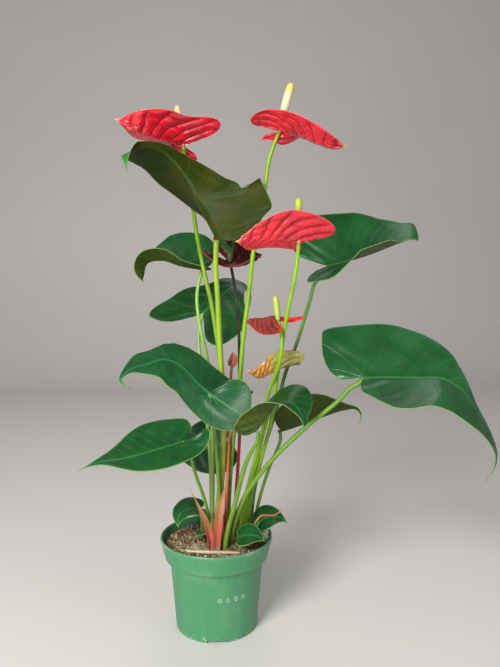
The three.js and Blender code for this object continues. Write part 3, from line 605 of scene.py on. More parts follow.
def course(points: Sequence[Point], count: int) -> Array:
    """A smooth line through points.

    Args:
        points: The points, in millimetres.
        count: Number of lengths it is cut into.

    Returns:
        count + 1 evenly spaced points.
    """
    p = np.asarray(points, float)
    gap = np.linalg.norm(np.diff(p, axis=0), axis=1)
    slope = np.diff(p, axis=0) / gap[:, None]
    m = np.zeros_like(p)
    for i in range(1, len(p) - 1):
        m[i] = (slope[i - 1] * gap[i] + slope[i] * gap[i - 1]) / (gap[i] + gap[i - 1])
    m[0] = 2 * slope[0] - m[1] if len(p) > 2 else slope[0]
    m[-1] = 2 * slope[-1] - m[-2] if len(p) > 2 else slope[0]
    knots = np.r_[0, np.cumsum(gap)]
    out = []
    for s in np.linspace(0, knots[-1], count + 1):
        i = min(max(int(np.searchsorted(knots, s, side="right")) - 1, 0), len(gap) - 1)
        h = gap[i]
        u = min((s - knots[i]) / h, 1.0)
        out.append(
            (2 * u**3 - 3 * u**2 + 1) * p[i]
            + (u**3 - 2 * u**2 + u) * h * m[i]
            + (3 * u**2 - 2 * u**3) * p[i + 1]
            + (u**3 - u**2) * h * m[i + 1]
        )
    return np.array(out)


@dataclass
class Frames:
    """Twist-free frames along a line.

    Attributes:
        line: The points of the line.
        ahead: Direction of the line at each point.
        left: Direction to its left.
        up: Direction upwards from it.
        run: Length of the line up to each point.
    """

    line: Array
    ahead: Array = field(init=False)
    left: Array = field(init=False)
    up: Array = field(init=False)
    run: Array = field(init=False)

    def __post_init__(self) -> None:
        """Works the frames out."""
        line = self.line
        self.ahead = unit(np.gradient(line, axis=0))
        self.run = np.r_[0, np.cumsum(np.linalg.norm(np.diff(line, axis=0), axis=1))]
        left = np.cross([0.0, 0.0, 1.0], self.ahead[0])
        left = unit(left) if np.linalg.norm(left) > UPRIGHT else np.array([0.0, 1.0, 0.0])
        lefts = [left]
        for i in range(1, len(line)):
            step = line[i] - line[i - 1]
            turned = left - 2 / (step @ step) * (step @ left) * step
            ahead = self.ahead[i - 1] - 2 / (step @ step) * (step @ self.ahead[i - 1]) * step
            rest = self.ahead[i] - ahead
            left = turned - 2 / (rest @ rest) * (rest @ turned) * rest if rest @ rest > TINY else turned
            left = unit(left - (left @ self.ahead[i]) * self.ahead[i])
            lefts.append(left)
        self.left = np.array(lefts)
        self.up = unit(np.cross(self.ahead, self.left))

    @property
    def length(self) -> float:
        """Length of the line."""
        return float(self.run[-1])

    def read(self, values: Array, at: Array) -> Array:
        """Interpolates values along the line."""
        at = np.clip(at, 0, self.length)
        return np.stack([np.interp(at, self.run, values[:, k]) for k in range(3)], -1)

    def calm(self, values: Array, at: Array, reach: Array) -> Array:
        """Directions evened out over a reach on both sides of each length."""
        out = unit(self.read(values, at))
        for step in (-0.9, -0.45, 0.45, 0.9):
            out = out + unit(self.read(values, at + step * reach))
        return unit(out)


def bezier(points: Sequence[tuple[float, float]], t: Array) -> Array:
    """A cubic curve's points."""
    t = t[:, None]
    q = [np.asarray(point, float) for point in points]
    return (1 - t) ** 3 * q[0] + 3 * (1 - t) ** 2 * t * q[1] + 3 * (1 - t) * t**2 * q[2] + t**3 * q[3]


Pair = float | tuple[float, float]  # one value, or one for the left and one for the right half
Keys = float | tuple[float, ...]  # one value, or evenly spaced ones from the stem to the tip


@dataclass
class Blade:
    """A heart-shaped blade over a midrib: a leaf, or the hood of a flower.

    Attributes:
        spine: Midrib from the stem to the tip.
        width: Half widths, left and right.
        lobe: Length behind the stem.
        lobe_side: How far out a lobe ends, as a share of the width.
        widest: Where the blade is widest, as a share of the length.
        gap: Width of the notch, as a share of the width.
        notch: How far behind the stem the notch begins, as a share of the lobe.
        tip: Length of the drawn-out tip, as a share of the length.
        full: How long the width is kept towards the tip.
        roll: Turn about the midrib, keyed from stem to tip, in degrees.
        fold: Lift of both halves, or of the left one.
        fold_right: Lift of the right half.
        curl: Added bend across a half.
        lift: Turn of the lobes upwards.
        dents: Half, place along the outline, depth as a share of the width, and reach.
        start: Place along the outline where the straight edge of the notch ends.
    """

    spine: Sequence[Point]
    width: Pair
    lobe: Pair
    lobe_side: Pair = 0.5
    widest: Pair = 0.22
    gap: Pair = 0.06
    notch: Pair = -0.35
    tip: Pair = 0.2
    full: Pair = 0.42
    roll: Keys = 0.0
    fold: Keys = 0.0
    fold_right: Keys | None = None
    curl: Keys = 0.0
    lift: Pair = 0.0
    dents: Sequence[tuple[float, ...]] = ()
    start: Pair = NOTCH_START

    @staticmethod
    def on(value: Pair, side: int) -> float:
        """The value for one half."""
        return value[side] if isinstance(value, tuple) else value

    def _margin(self, side: int, length: float, t: Array) -> Array:
        """Half the outline, from the notch to the tip.

        Args:
            side: 0 for left, 1 for right.
            length: Length of the midrib.
            t: Places along the outline, 0 to 1.

        Returns:
            Points (along, across).
        """
        width = self.on(self.width, side)
        lobe = self.on(self.lobe, side)
        out_to = self.on(self.lobe_side, side) * width
        widest = self.on(self.widest, side) * length
        gap = self.on(self.gap, side) * width
        back = self.on(self.notch, side) * lobe
        tip = self.on(self.tip, side) * length
        full = self.on(self.full, side)
        shoulder = widest - 0.54 * (widest + lobe)
        rise = out_to + 0.6 * (width - out_to)
        held = widest + full * (length - widest)
        out = np.zeros((len(t), 2))
        arcs = (
            (0.0, NOTCH_END, [(0, 0), (back, gap), (-lobe, gap + 0.1 * out_to), (-lobe, out_to)]),
            (NOTCH_END, FLANK_END, [(-lobe, out_to), (-lobe, rise), (shoulder, width), (widest, width)]),
            (FLANK_END, 1.0, [(widest, width), (held, width), (length - tip, 0.04 * width), (length, 0)]),
        )
        arc = np.searchsorted([NOTCH_END, FLANK_END], t)
        for k, (first, last, points) in enumerate(arcs):
            out[arc == k] = bezier(points, (t[arc == k] - first) / (last - first))
        for half, place, depth, reach in self.dents:
            if half == side:
                out[:, 1] *= 1 - depth * np.exp(-(((t - place) / reach) ** 2))
        return out

    def half(self, side: int, rows: int, across: Array) -> tuple[Array, Array]:
        """The middle surface of one half.

        Args:
            side: 0 for left, 1 for right.
            rows: Number of strips from the notch to the tip.
            across: Places across the half, 0 at the midrib to 1 at the margin.

        Returns:
            Points, and for each the flat place along, across and from the margin.
        """
        f = Frames(course(self.spine, FINE))
        length = f.length
        steps = np.linspace(0, 1, rows + 1)
        start = self.on(self.start, side)
        edge_at, mid_at = (first + (1 - first) * steps for first in (start, NOTCH_START))
        edge = self._margin(side, length, edge_at)
        mid = length * np.clip((mid_at - MID_START) / (1 - MID_START), 0, 1) ** 1.5
        v = across[None, :]
        x = mid[:, None] * (1 - v) + edge[:, :1] * v
        y = edge[:, 1:] * v
        width = self.on(self.width, side)
        lobe = self.on(self.lobe, side)
        u = np.clip(x / length, 0, 1)
        near_tip = np.clip(edge[:, 1] / FLAT_TIP, 0, 1)
        level = np.where(edge_at > FLANK_END, near_tip, 1.0)[:, None]
        fold = self.fold_right if side and self.fold_right is not None else self.fold
        slope = np.radians(keyed(fold, u)) * level
        bend = np.radians(keyed(self.curl, u))
        bend = np.where(np.abs(bend) < FLAT, FLAT, bend)
        out = width / bend * (np.sin(slope + bend * y / width) - np.sin(slope))
        raised = width / bend * (np.cos(slope) - np.cos(slope + bend * y / width))
        roll = np.radians(keyed(self.roll, u))[..., None]
        ahead, across_rib, over_rib = (f.calm(way, x, y) for way in (f.ahead, f.left, f.up))
        left = across_rib * np.cos(roll) + over_rib * np.sin(roll)
        up = over_rib * np.cos(roll) - across_rib * np.sin(roll)
        back = np.clip(-x, 0, None)[..., None]
        turn = math.radians(self.on(self.lift, side)) / lobe or 1e-6
        points = f.read(f.line, x) - ahead * np.sin(turn * back) / turn
        points = points + up * (1 - np.cos(turn * back)) / turn
        up = up * np.cos(turn * back) + ahead * np.sin(turn * back)
        points = points + left * (-out if side else out)[..., None] + up * raised[..., None]
        from_edge = (1 - v) * np.hypot(edge[:, :1] - mid[:, None], edge[:, 1:])
        return points, np.stack([x, -y if side else y, from_edge], -1)


@dataclass
class MeshPiece:
    """Points and faces of one piece, in metres, with the values its material reads.

    Attributes:
        points: Corners.
        faces: Faces, as numbers of corners.
        values: Attributes by name, one number or three for each corner.
    """

    points: Array
    faces: list[tuple[int, ...]]
    values: dict[str, Array] = field(default_factory=dict)

    def make(self, name: str, material: bpy.types.Material, smooth: bool = True) -> bpy.types.Object:
        """Turns it into an object.

        Args:
            name: The piece's name.
            material: Its finish.
            smooth: Whether its faces are shaded smooth.

        Returns:
            The object, linked to the scene.
        """
        mesh = bpy.data.meshes.new(name)
        mesh.from_pydata(self.points.tolist(), [], self.faces)
        for key, value in self.values.items():
            three = value.ndim == 2
            layer = mesh.attributes.new(key, "FLOAT_VECTOR" if three else "FLOAT", "POINT")
            layer.data.foreach_set("vector" if three else "value", value.astype(np.float32).ravel())
        mesh.polygons.foreach_set("use_smooth", [smooth] * len(mesh.polygons))
        mesh.materials.append(material)
        mesh.validate()
        mesh.update()
        made = bpy.data.objects.new(name, mesh)
        bpy.context.scene.collection.objects.link(made)
        return made

    @staticmethod
    def joined(parts: Iterable["MeshPiece"]) -> "MeshPiece":
        """Several pieces as one."""
        points, faces, values, start = [], [], {}, 0
        for part in parts:
            points.append(part.points)
            faces.extend(tuple(i + start for i in f) for f in part.faces)
            for key, value in part.values.items():
                values.setdefault(key, []).append(value)
            start += len(part.points)
        return MeshPiece(np.concatenate(points), faces, {k: np.concatenate(v) for k, v in values.items()})


Relief = Callable[[int, Array, Array], Array]  # height over (half, share down, share across)


def quilt(side: int, down: Array, across: Array) -> Array:
    """Offset of a hood along its normal in millimetres, lowest in the middle of each cushion."""
    rib = 8 * down + 1.5 * across + 0.5 * side + 0.16 * np.sin(9 * down + 5 * across)
    cushion = 2.6 * across + 0.37 * np.floor(rib) + 0.6 * np.sin(5 * down)
    between_ribs = np.abs(np.sin(np.pi * rib)) ** 0.6
    bubble = np.abs(np.sin(np.pi * cushion)) ** 0.5
    fade = np.clip(across / 0.12, 0, 1) * np.clip((1 - across) / 0.14, 0, 1)
    fade = fade * np.clip((1 - down) / 0.15, 0, 1)
    return -CUSHION * fade * (between_ribs * (0.45 + 0.55 * bubble) - 0.5)


def signed_volume(points: Array, face: tuple[int, ...]) -> float:
    """Signed volume between the origin and a face, up to a factor."""
    a = points[face[0]]
    return sum(
        float(np.dot(a, np.cross(points[face[k]], points[face[k + 1]]))) for k in range(1, len(face) - 1)
    )


def blade_mesh(
    blade: Blade, thickness: float, rows: int, columns: int, relief: Relief | None = None
) -> MeshPiece:
    """Builds a blade with two skins and a closed margin.

    Args:
        blade: Its form.
        thickness: Its thickness in millimetres.
        rows: Strips from the notch to the tip.
        columns: Strips from the midrib to the margin.
        relief: Height of a raised pattern over (side, share down, share across).

    Returns:
        The piece, with attributes blade, size and rise.
    """
    across = np.r_[np.linspace(0, 1, columns + 1)[:-1], 1 - 0.35 / columns, 1.0]
    across = np.unique(across)
    grids = [blade.half(side, rows, across) for side in (0, 1)]
    last = len(across) - 1
    index = np.zeros((2, rows + 1, last + 1), int)
    points, flat, lifted = [], [], []
    for side, (spots, places) in enumerate(grids):
        for i in range(rows + 1):
            for j in range(last + 1):
                if side and j == 0:
                    index[1, i, 0] = index[0, i, 0]
                elif i == rows and j:
                    index[side, i, j] = index[side, i, 0]
                else:
                    index[side, i, j] = len(points)
                    points.append(spots[i, j])
                    flat.append(places[i, j])
                    inner = relief is not None and 0 < i < rows and j
                    down, over = np.array(i / rows), np.array(across[j])
                    lifted.append(float(relief(side, down, over)) if inner else 0.0)
    points, flat, lifted = np.array(points), np.array(flat), np.array(lifted)
    skin, middle = [], np.arange(len(points))
    for side in (0, 1):
        for i in range(rows):
            for j in range(last):
                a, b = index[side, i, j], index[side, i + 1, j]
                c, d = index[side, i + 1, j + 1], index[side, i, j + 1]
                face = (a, b, c, d) if side == 0 else (d, c, b, a)
                face = tuple(dict.fromkeys(face))
                if len(face) > 2:
                    skin.append(face)
        for i in range(rows + 1):
            middle[index[side, i]] = index[side, i, 0]
    normal = np.zeros_like(points)
    for face in skin:
        for k in range(1, len(face) - 1):
            a, b, c = points[face[0]], points[face[k]], points[face[k + 1]]
            area = np.cross(b - a, c - a)
            for corner in (face[0], face[k], face[k + 1]):
                normal[corner] += area
    normal = unit(normal)
    near = np.clip(np.linalg.norm(points - points[middle], axis=1) / FOLD_REACH, 0, 1)[:, None]
    normal = unit(normal * near + normal[middle] * (1 - near))
    count = len(points)
    top = points + normal * (thickness / 2 + lifted)[:, None]
    low = points + normal * (lifted - thickness / 2)[:, None]
    faces = list(skin) + [tuple(i + count for i in reversed(face)) for face in skin]
    for side in (0, 1):
        margin = [index[side, 0, j] for j in range(last + 1)]
        margin += [index[side, i, last] for i in range(1, rows + 1)]
        for a, b in zip(margin[:-1], margin[1:]):
            if a != b:
                face = (a, b, b + count, a + count)
                faces.append(face if side == 0 else face[::-1])
    if sum(signed_volume(np.r_[top, low], face) for face in faces) < 0:
        faces = [face[::-1] for face in faces]
    length = Frames(course(blade.spine, FINE)).length
    wide = max(blade.on(blade.width, 0), blade.on(blade.width, 1))
    size = np.tile([wide, length, 0.0], (2 * count, 1))
    size[count:, 2] = 1.0
    # The rise is 1 in the middles of the cushions and 0 along the lines between them; the hood finish
    # paints a highlight and shade from it.
    swell = (lifted - lifted.min()) / (np.ptp(lifted) + 1e-9)
    return MeshPiece(
        np.r_[top, low] * MM,
        faces,
        {"blade": np.r_[flat, flat], "size": size, "rise": np.r_[1 - swell, 1 - swell]},
    )


@dataclass(frozen=True)
class Rod:
    """A round body along a line: a spike, a stem, a twig or a root.

    Attributes:
        line: Its line, for a stem from the blade down to the soil and for a spike from foot to tip.
        radii: Radius along it.
    """

    line: Sequence[Point]
    radii: tuple[float, ...]

    @property
    def length(self) -> float:
        """Straight distance from point to point along the line."""
        return float(np.sum(np.linalg.norm(np.diff(np.asarray(self.line, float), axis=0), axis=1)))


def tube(
    rod: Rod, sides: int, rows: int, shape: Callable[[Array, Array], Array] | None = None
) -> MeshPiece:
    """Builds a round body.

    Args:
        rod: Its line and radii.
        sides: Corners around it.
        rows: Lengths along it.
        shape: Factor on the radius over (share along, angle).

    Returns:
        The piece, with attributes rise (1 at the line's start) and bead (the factor).
    """
    f = Frames(course(rod.line, rows))
    u = np.linspace(0, 1, rows + 1)[:, None]
    angle = np.linspace(0, 2 * np.pi, sides, endpoint=False)[None, :]
    factor = shape(u, angle) if shape else np.ones((rows + 1, sides))
    r = keyed(rod.radii, u) * factor
    ring = (
        f.line[:, None, :]
        + f.left[:, None, :] * (r * np.cos(angle))[..., None]
        + f.up[:, None, :] * (r * np.sin(angle))[..., None]
    )
    corners = np.r_[ring.reshape(-1, 3), f.line[:1], f.line[-1:]]
    faces = []
    for i in range(rows):
        for k in range(sides):
            m = (k + 1) % sides
            faces.append((i * sides + k, i * sides + m, (i + 1) * sides + m, (i + 1) * sides + k))
    top, foot = len(corners) - 2, len(corners) - 1
    for k in range(sides):
        m = (k + 1) % sides
        faces.append((top, m, k))
        faces.append((foot, rows * sides + k, rows * sides + m))
    rise = np.r_[np.repeat(1 - u[:, 0], sides), 1.0, 0.0]
    bead = np.r_[factor.ravel(), 1.0, 1.0]
    return MeshPiece(corners * MM, faces, {"rise": rise, "bead": bead})


# ---- the plant in numbers --------------------------------------------------------------------

LEAVES: dict[str, Blade] = {
    "leaf_top": Blade(
        spine=((1, -10, 410), (-18, 0, 447), (-34, 3, 481), (-53, -3, 500), (-72, -20, 500),
        (-82, -35, 492), (-85, -42, 472)),
        width=(70, 54), lobe=(20, 20), lobe_side=(0.9, 0.5), widest=(0.18, 0.2), roll=(75, 75, 75, 60),
        fold=(25, 35, 85, 110, 80), fold_right=(60, 45, 10, 0, 0), lift=(30, 20), tip=(0.35, 0.1),
        full=(-0.1, 0.6), dents=((0, 0.54, 0.2, 0.05), (0, 0.66, 0.22, 0.1), (0, 0.82, 0.35, 0.09),
        (1, 0.78, -0.15, 0.1)),
    ),
    "leaf_left_high": Blade(
        spine=((-15, 55, 382), (-39, 53, 386), (-61, 47, 392), (-75, 44, 389), (-81, 42, 380),
        (-80, 40, 367)),
        width=(24, 61), lobe=(10, 12), roll=(0, 5, 30, 75), fold=(10, 10, 10), fold_right=(50, 45, 20),
        tip=(0.08, 0.25), full=(0.7, 0.3), widest=(0.5, 0.2),
    ),
    "leaf_back": Blade(
        spine=((-15, 85, 332), (4, 100, 350), (25, 115, 365), (40, 122, 362), (43, 124, 340)),
        width=(62, 60), lobe=(42, 38), lobe_side=(0.75, 0.75), gap=(0.22, 0.3), roll=(27, 27, 15), fold=5,
        lift=10, tip=0.35, full=0.3, widest=0.05, dents=((0, 0.45, 0.22, 0.12), (0, 0.66, 0.4, 0.14)),
    ),
    "leaf_right_high": Blade(
        spine=((121, 15, 385), (139, 12, 389), (160, 9, 395), (181, 6, 403), (198, 4, 410), (208, 2, 414),
        (214, 0, 411)),
        width=(68, 42), lobe=(44, 24), lobe_side=(0.9, 0.6), gap=0.12, roll=(28, 28, 28, 30),
        fold=(35, 30, 15, 0), fold_right=(5, 36, 38, 10), lift=(10, -15), tip=(-0.02, 0.1),
        full=(0.9, 0.7), widest=(0.05, 0.3), dents=((0, 0.84, -0.8, 0.08),),
    ),
    "leaf_right_large": Blade(
        spine=((146, -50, 272), (170, -58, 273), (196, -68, 274), (216, -76, 274), (231, -84, 264),
        (242, -90, 248), (254, -95, 225), (260, -97, 201), (249, -100, 182)),
        width=(65, 50), lobe=(46, 3), lobe_side=(0.8, 0.3), gap=(-0.15, 0.1), start=(0.08, 0.12),
        roll=(40, 40, 30, 20), fold=(12, 12, 15, -25, -30, -20), fold_right=(12, 12, 12, 20),
        lift=(10, 10), tip=(0.45, 0.3), full=(0.2, 0.5), widest=(0.06, 0.25), dents=((1, 0.3, 0.2, 0.08),
        (0, 0.79, 0.5, 0.1)),
    ),
    "leaf_left_large": Blade(
        spine=((-6, -35, 255), (-20, -33, 267), (-35, -30, 282), (-50, -28, 289), (-70, -27, 284),
        (-89, -28, 277), (-95, -30, 270), (-85, -33, 260)),
        width=(34, 34), lobe=(45, 34), lobe_side=(0.1, 0.95), gap=(-1.2, 0.3), notch=(0, -0.35),
        start=(0.04, 0.12), roll=(-40, -38, -30), fold=(-40, -10, -5, -5, -5, 0), fold_right=(-5, -5, 0),
        lift=(20, 30), tip=(0.35, 0.3), widest=(0.15, 0.5), full=(0.45, 0.55),
        dents=((0, 0.45, 0.3, 0.09), (1, 0.52, 0.3, 0.1)),
    ),
    "leaf_left_low": Blade(
        spine=((-34, -35, 207), (-60, -48, 202), (-88, -58, 197), (-112, -65, 195), (-130, -72, 189)),
        width=(26, 38), lobe=(30, 18), lobe_side=(0.35, 0.5), roll=(-30, -30, -10), lift=(65, 30),
        tip=0.3,
    ),
    "leaf_rear_low": Blade(
        spine=((12, 60, 184), (-3, 60, 178), (-22, 58, 172), (-43, 56, 162)),
        width=33, lobe=6, roll=-80, tip=0.1, full=0.8,
    ),
    "leaf_front": Blade(
        spine=((41, -51, 222), (49, -57, 235), (59, -63, 249), (71, -69, 252), (79, -74, 243),
        (82, -78, 228)),
        width=(31, 23), lobe=(26, 22), roll=(10, 10, 20), fold=(30, 22, 10),
        fold_right=(62, 32, -10, -20), lift=(40, 30), tip=(0.05, 0.15), widest=(0.5, 0.15),
        full=(0.7, 0.42), lobe_side=(0.9, 0.7), dents=((0, 0.74, 0.45, 0.09),),
    ),
    "leaf_right_low": Blade(
        spine=((71, 12, 207), (89, 12, 213), (108, 13, 220), (126, 14, 225), (142, 15, 228),
        (154, 16, 228), (160, 17, 221), (158, 17, 211)),
        width=(6, 44), lobe=(5, 4), roll=(-45, -45, -20), fold=5, tip=(0.3, 0.4),
    ),
    "leaf_soil_left": Blade(
        spine=((-18, 16, 120), (-29, 13, 121), (-39, 9, 117), (-41, 5, 102)),
        width=21, lobe=6, roll=(-10, -10, -40), fold=5, lift=40, tip=0.2,
    ),
    "leaf_soil_right": Blade(
        spine=((46, 0, 109), (59, 0, 115), (77, 0, 107)),
        width=16, lobe=4, roll=30, fold=5, tip=0.2,
    ),
    "leaf_round": Blade(
        spine=((26, -28, 105), (38, -31, 107), (49, -34, 102)),
        width=15, lobe=6, roll=25, fold=5, tip=0.1,
    ),
    "leaf_tiny": Blade(
        spine=((-14, 2, 98), (-18, -3, 99), (-22, -7, 97)),
        width=8, lobe=4, fold=5, tip=0.1,
    ),
}

SPATHES: dict[str, Blade] = {
    "spathe_top_left": Blade(
        spine=((-35, 45, 518), (-54, 38, 521), (-70, 32, 524), (-83, 27, 527), (-94, 24, 533),
        (-106, 22, 540)),
        width=(38, 27), lobe=(31, 20), lobe_side=(0.9, 0.45), gap=(0.42, 0.1), roll=18, fold=(22, 22, 18),
        fold_right=(-40, 20, 22, 22, 20, 18), lift=(0, -10), tip=(0.15, 0.2), full=(0.85, 0.75),
        widest=(0.22, 0.5), dents=((0, 0.42, 0.05, 0.05), (0, 0.3, -0.16, 0.08), (1, 0.3, 0.45, 0.08)),
    ),
    "spathe_top_right": Blade(
        spine=((66, -10, 520), (85, -20, 513), (102, -30, 504), (116, -38, 499), (129, -42, 499)),
        width=(26, 32), lobe=(22, 24), lobe_side=(0.48, 0.6), gap=(0.1, 0.2), roll=-12,
        fold=(-40, 20, 17, 17, 17, 17), fold_right=17, lift=(-10, -35), tip=0.1, full=(0.6, 0.8),
        widest=(0.5, 0.22), dents=((0, 0.29, 0.5, 0.08), (0, 0.4, 0.2, 0.06)),
    ),
    "spathe_middle": Blade(
        spine=((79, -60, 403), (63, -64, 405), (46, -68, 405), (30, -71, 404), (18, -73, 403)),
        width=(34, 24), lobe=(29, 7), lobe_side=(0.6, 0.4), gap=(0.3, 0.1), roll=35, fold=15, tip=0.1,
        full=(0.5, 0.6), widest=(0.16, 0.6), dents=((1, 0.38, 0.3, 0.12),),
    ),
    "spathe_rear": Blade(
        spine=((16, 40, 390), (29, 38, 387), (42, 36, 391), (51, 34, 399)),
        width=(44, 32), lobe=(34, 32), lobe_side=(0.8, 0.5), roll=40, fold=(10, 10), fold_right=(28, 52),
        lift=10, tip=0.08, full=0.7,
    ),
    "spathe_small": Blade(
        spine=((61, -45, 329), (47, -47, 331), (35, -48, 330), (28, -49, 326)),
        width=(22, 18), lobe=(3, 28), roll=-25, fold=-20, fold_right=(-12, -35, -35), lift=(0, 35),
        tip=0.12, full=(0.85, 0.3), widest=(0.55, 0.1),
    ),
    "spathe_faded": Blade(
        spine=((66, -4, 275), (55, -6, 270), (45, -8, 267), (39, -9, 271), (32, -10, 276)),
        width=(22, 18), lobe=(26, 24), lobe_side=0.6, gap=0.05, roll=25, fold=20, curl=45, lift=-45,
        tip=0.2, full=0.8,
    ),
}

SPIKES: dict[str, Rod] = {
    "spadix_top_left": Rod(((-35, 45, 518), (-38, 44, 540), (-42, 43, 561)), (2, 4.3, 4.3, 4.2, 3.4)),
    "spadix_top_right": Rod(((66, -10, 520), (71, -10, 544), (78, -10, 569)), (2, 4.4, 4.4, 4.3, 3.6)),
    "spadix_middle": Rod(((79, -60, 403), (79, -59, 424), (79, -58, 446)), (1.9, 3.8, 3.7, 3.5, 3)),
    "spadix_rear": Rod(((16, 40, 390), (17, 39, 402), (19, 39, 416)), (1.8, 3.2, 3.1, 3, 2.4)),
    "spadix_small": Rod(((61, -45, 329), (60, -45, 340), (58, -45, 353)), (1.8, 3, 2.9, 2.8, 2.4)),
    "spadix_faded": Rod(((66, -4, 277), (65, -4, 285), (63, -4, 295)), (1.6, 2.6, 2.5, 2.3, 2)),
}

STEMS: dict[str, Rod] = {
    "petiole_top": Rod(
        ((1, -10, 410), (0, -9, 388), (2, -8, 349), (4, -6, 302), (6, -5, 263), (8, -5, 211),
        (6, -5, 168), (2, -7, 126), (-1, -10, 96)), (2.5, 3.2, 4),
    ),
    "petiole_left_high": Rod(
        ((-15, 55, 382), (-21, 47, 354), (-19, 40, 327), (-13, 36, 298), (-10, 34, 284), (-5, 28, 216),
        (-4, 24, 149), (-5, 21, 96)), (1.9, 2.2),
    ),
    "petiole_back": Rod(
        ((-15, 85, 332), (-19, 82, 318), (-20, 76, 295), (-18, 70, 276), (-12, 56, 224), (-7, 42, 160),
        (-6, 33, 96)), (1.7, 2),
    ),
    "petiole_right_high": Rod(
        ((121, 15, 384), (117, 15, 375), (108, 17, 367), (103, 19, 349), (97, 22, 327), (87, 23, 295),
        (78, 23, 272), (65, 20, 224), (56, 18, 196), (48, 19, 167), (43, 22, 142), (40, 25, 118),
        (39, 26, 96)), (1.9, 2.2),
    ),
    "petiole_right_large": Rod(
        ((146, -50, 272), (141, -49, 266), (135, -48, 263), (123, -46, 250), (90, -40, 221),
        (48, -30, 175), (30, -24, 147), (20, -19, 119), (15, -16, 97)), (2.2, 2.6),
    ),
    "petiole_left_large": Rod(
        ((-6, -35, 255), (-6, -30, 243), (-3, -24, 226), (0, -18, 193), (2, -15, 160), (4, -15, 117),
        (5, -18, 96)), (1.8, 2.2),
    ),
    "petiole_left_low": Rod(
        ((-34, -35, 207), (-29, -33, 199), (-26, -32, 190), (-20, -28, 167), (-14, -22, 148),
        (-9, -17, 126), (-8, -15, 96)), (1.6, 1.8),
    ),
    "petiole_rear_low": Rod(
        ((18, 60, 184), (18, 54, 170), (14, 42, 143), (11, 30, 114), (9, 24, 96)), (1.7, 2),
    ),
    "petiole_front": Rod(
        ((41, -50.5, 219), (41, -48, 211), (36, -42, 199), (31, -36, 187), (26, -32, 170), (19, -28, 140),
        (11, -26, 108), (9, -26, 94)), (1.4, 2.4, 2.5, 2.6),
    ),
    "petiole_right_low": Rod(
        ((69, 12, 207), (70, 12, 196), (65, 12, 182), (59, 14, 167), (53, 18, 147), (48, 22, 127),
        (45, 24, 112), (45, 24, 96)), (1.7, 2),
    ),
    "petiole_soil_left": Rod(((-18, 16, 120), (-17, 16, 108), (-16, 16, 96)), (1.1, 1.3)),
    "petiole_soil_right": Rod(((46, 0, 109), (43, -3, 101), (42, -5, 94)), (1.1, 1.3)),
    "petiole_round": Rod(((26, -28, 105), (26, -27, 100), (26, -26, 94)), (1.1, 1.3)),
    "petiole_tiny": Rod(((-14, 2, 98), (-14, 3, 95), (-14, 4, 92)), (0.9, 1.1)),
    "stalk_top_left": Rod(
        ((-35, 45, 518), (-31, 56, 487), (-26, 64, 456), (-21, 50, 422), (-16, 32, 396), (-11, 25, 372),
        (-5, 24, 346), (0, 23, 315), (4, 21, 286), (7, 18, 239), (7, 14, 185), (5, 10, 131), (4, 8, 96)),
        (2.3, 2.6),
    ),
    "stalk_top_right": Rod(
        ((66, -10, 520), (56, -10, 495), (51, -10, 465), (45, -10, 430), (39, -8, 398), (35, -6, 360),
        (28, -3, 301), (26, 0, 272), (19, 2, 210), (16, 2, 178), (13, 2, 133), (12, 3, 96)), (2, 2.8),
    ),
    "stalk_middle": Rod(
        ((79, -60, 403), (77, -57, 378), (70, -50, 338), (66.5, -42, 313), (64, -35, 290), (61, -27, 262),
        (56, -18, 218), (48, -10, 184), (38, -3, 148), (31, 2, 114), (29, 3, 96)), (1.9, 2.2),
    ),
    "stalk_rear": Rod(
        ((16, 40, 390), (20, 39, 370), (23, 38, 348), (26, 36, 298), (26, 33, 266), (26, 26, 204),
        (23, 18, 154), (20, 13, 118), (19, 11, 96)), (1.6, 2),
    ),
    "stalk_small": Rod(
        ((61, -45, 329), (64, -49, 315), (64, -49, 299), (61, -38, 278), (54, -23, 254), (48, -17, 213),
        (41, -15, 185), (32, -11, 147), (26, -9, 116), (23, -8, 96)), (1.7, 2),
    ),
    "stalk_faded": Rod(
        ((66, -4, 277), (64, -4, 259), (57, -1, 231), (49, 2, 198), (40, 8, 153), (36, 12, 125),
        (34, 14, 96)), (1.5, 1.8),
    ),
    "stalk_bud": Rod(
        ((17, 12, 278), (15, 8, 250), (14, -2, 211), (12, -6, 168), (10, -7, 126), (9, -6, 96)),
        (1.5, 1.8),
    ),
}

SHEATHS: dict[str, Blade] = {
    "sheath_centre": Blade(
        spine=((0, -25, 84), (1, -25, 110), (4, -25, 135), (9, -24, 155), (15, -24, 174)),
        width=5, lobe=1, fold=35, tip=0.3, roll=90, widest=0.3,
    ),
    "sheath_left": Blade(
        spine=((-7, -25, 84), (-8, -25, 108), (-15, -27, 130), (-22, -27, 145), (-28, -27, 158)),
        width=4, lobe=1, fold=35, tip=0.3, roll=90, widest=0.3,
    ),
}

BUD = Blade(
    spine=((17, 12, 278), (19, 11, 286), (17, 10, 293)),
    width=6, lobe=1.5, fold=45, tip=0.1, full=0.7, roll=90,
)

TWIG = Rod(
    ((37, -13, 84), (38, -13, 106), (47, -14, 121), (62, -14, 122), (73, -14, 133)), (1.5, 1.1, 0.6),
)

ROOT = Rod(((-36, -27, 91), (-14, -36, 93), (14, -38, 92.5), (24, -36, 91)), (1.3, 1.8, 1.4))


# ---- the pieces ------------------------------------------------------------------------------


class Slot(Enum):
    """Material slots of the part's record."""

    POT = "pot"
    SOIL = "soil"
    LEAF = "leaf"
    SPATHE = "spathe"
    SPATHE_DARK = "spathe_dark"
    SPATHE_FADED = "spathe_faded"
    SPADIX = "spadix"
    SPADIX_GREEN = "spadix_green"
    PETIOLE = "petiole"
    STALK = "stalk"
    SHEATH = "sheath"
    BUD = "bud"
    ROOT = "root"


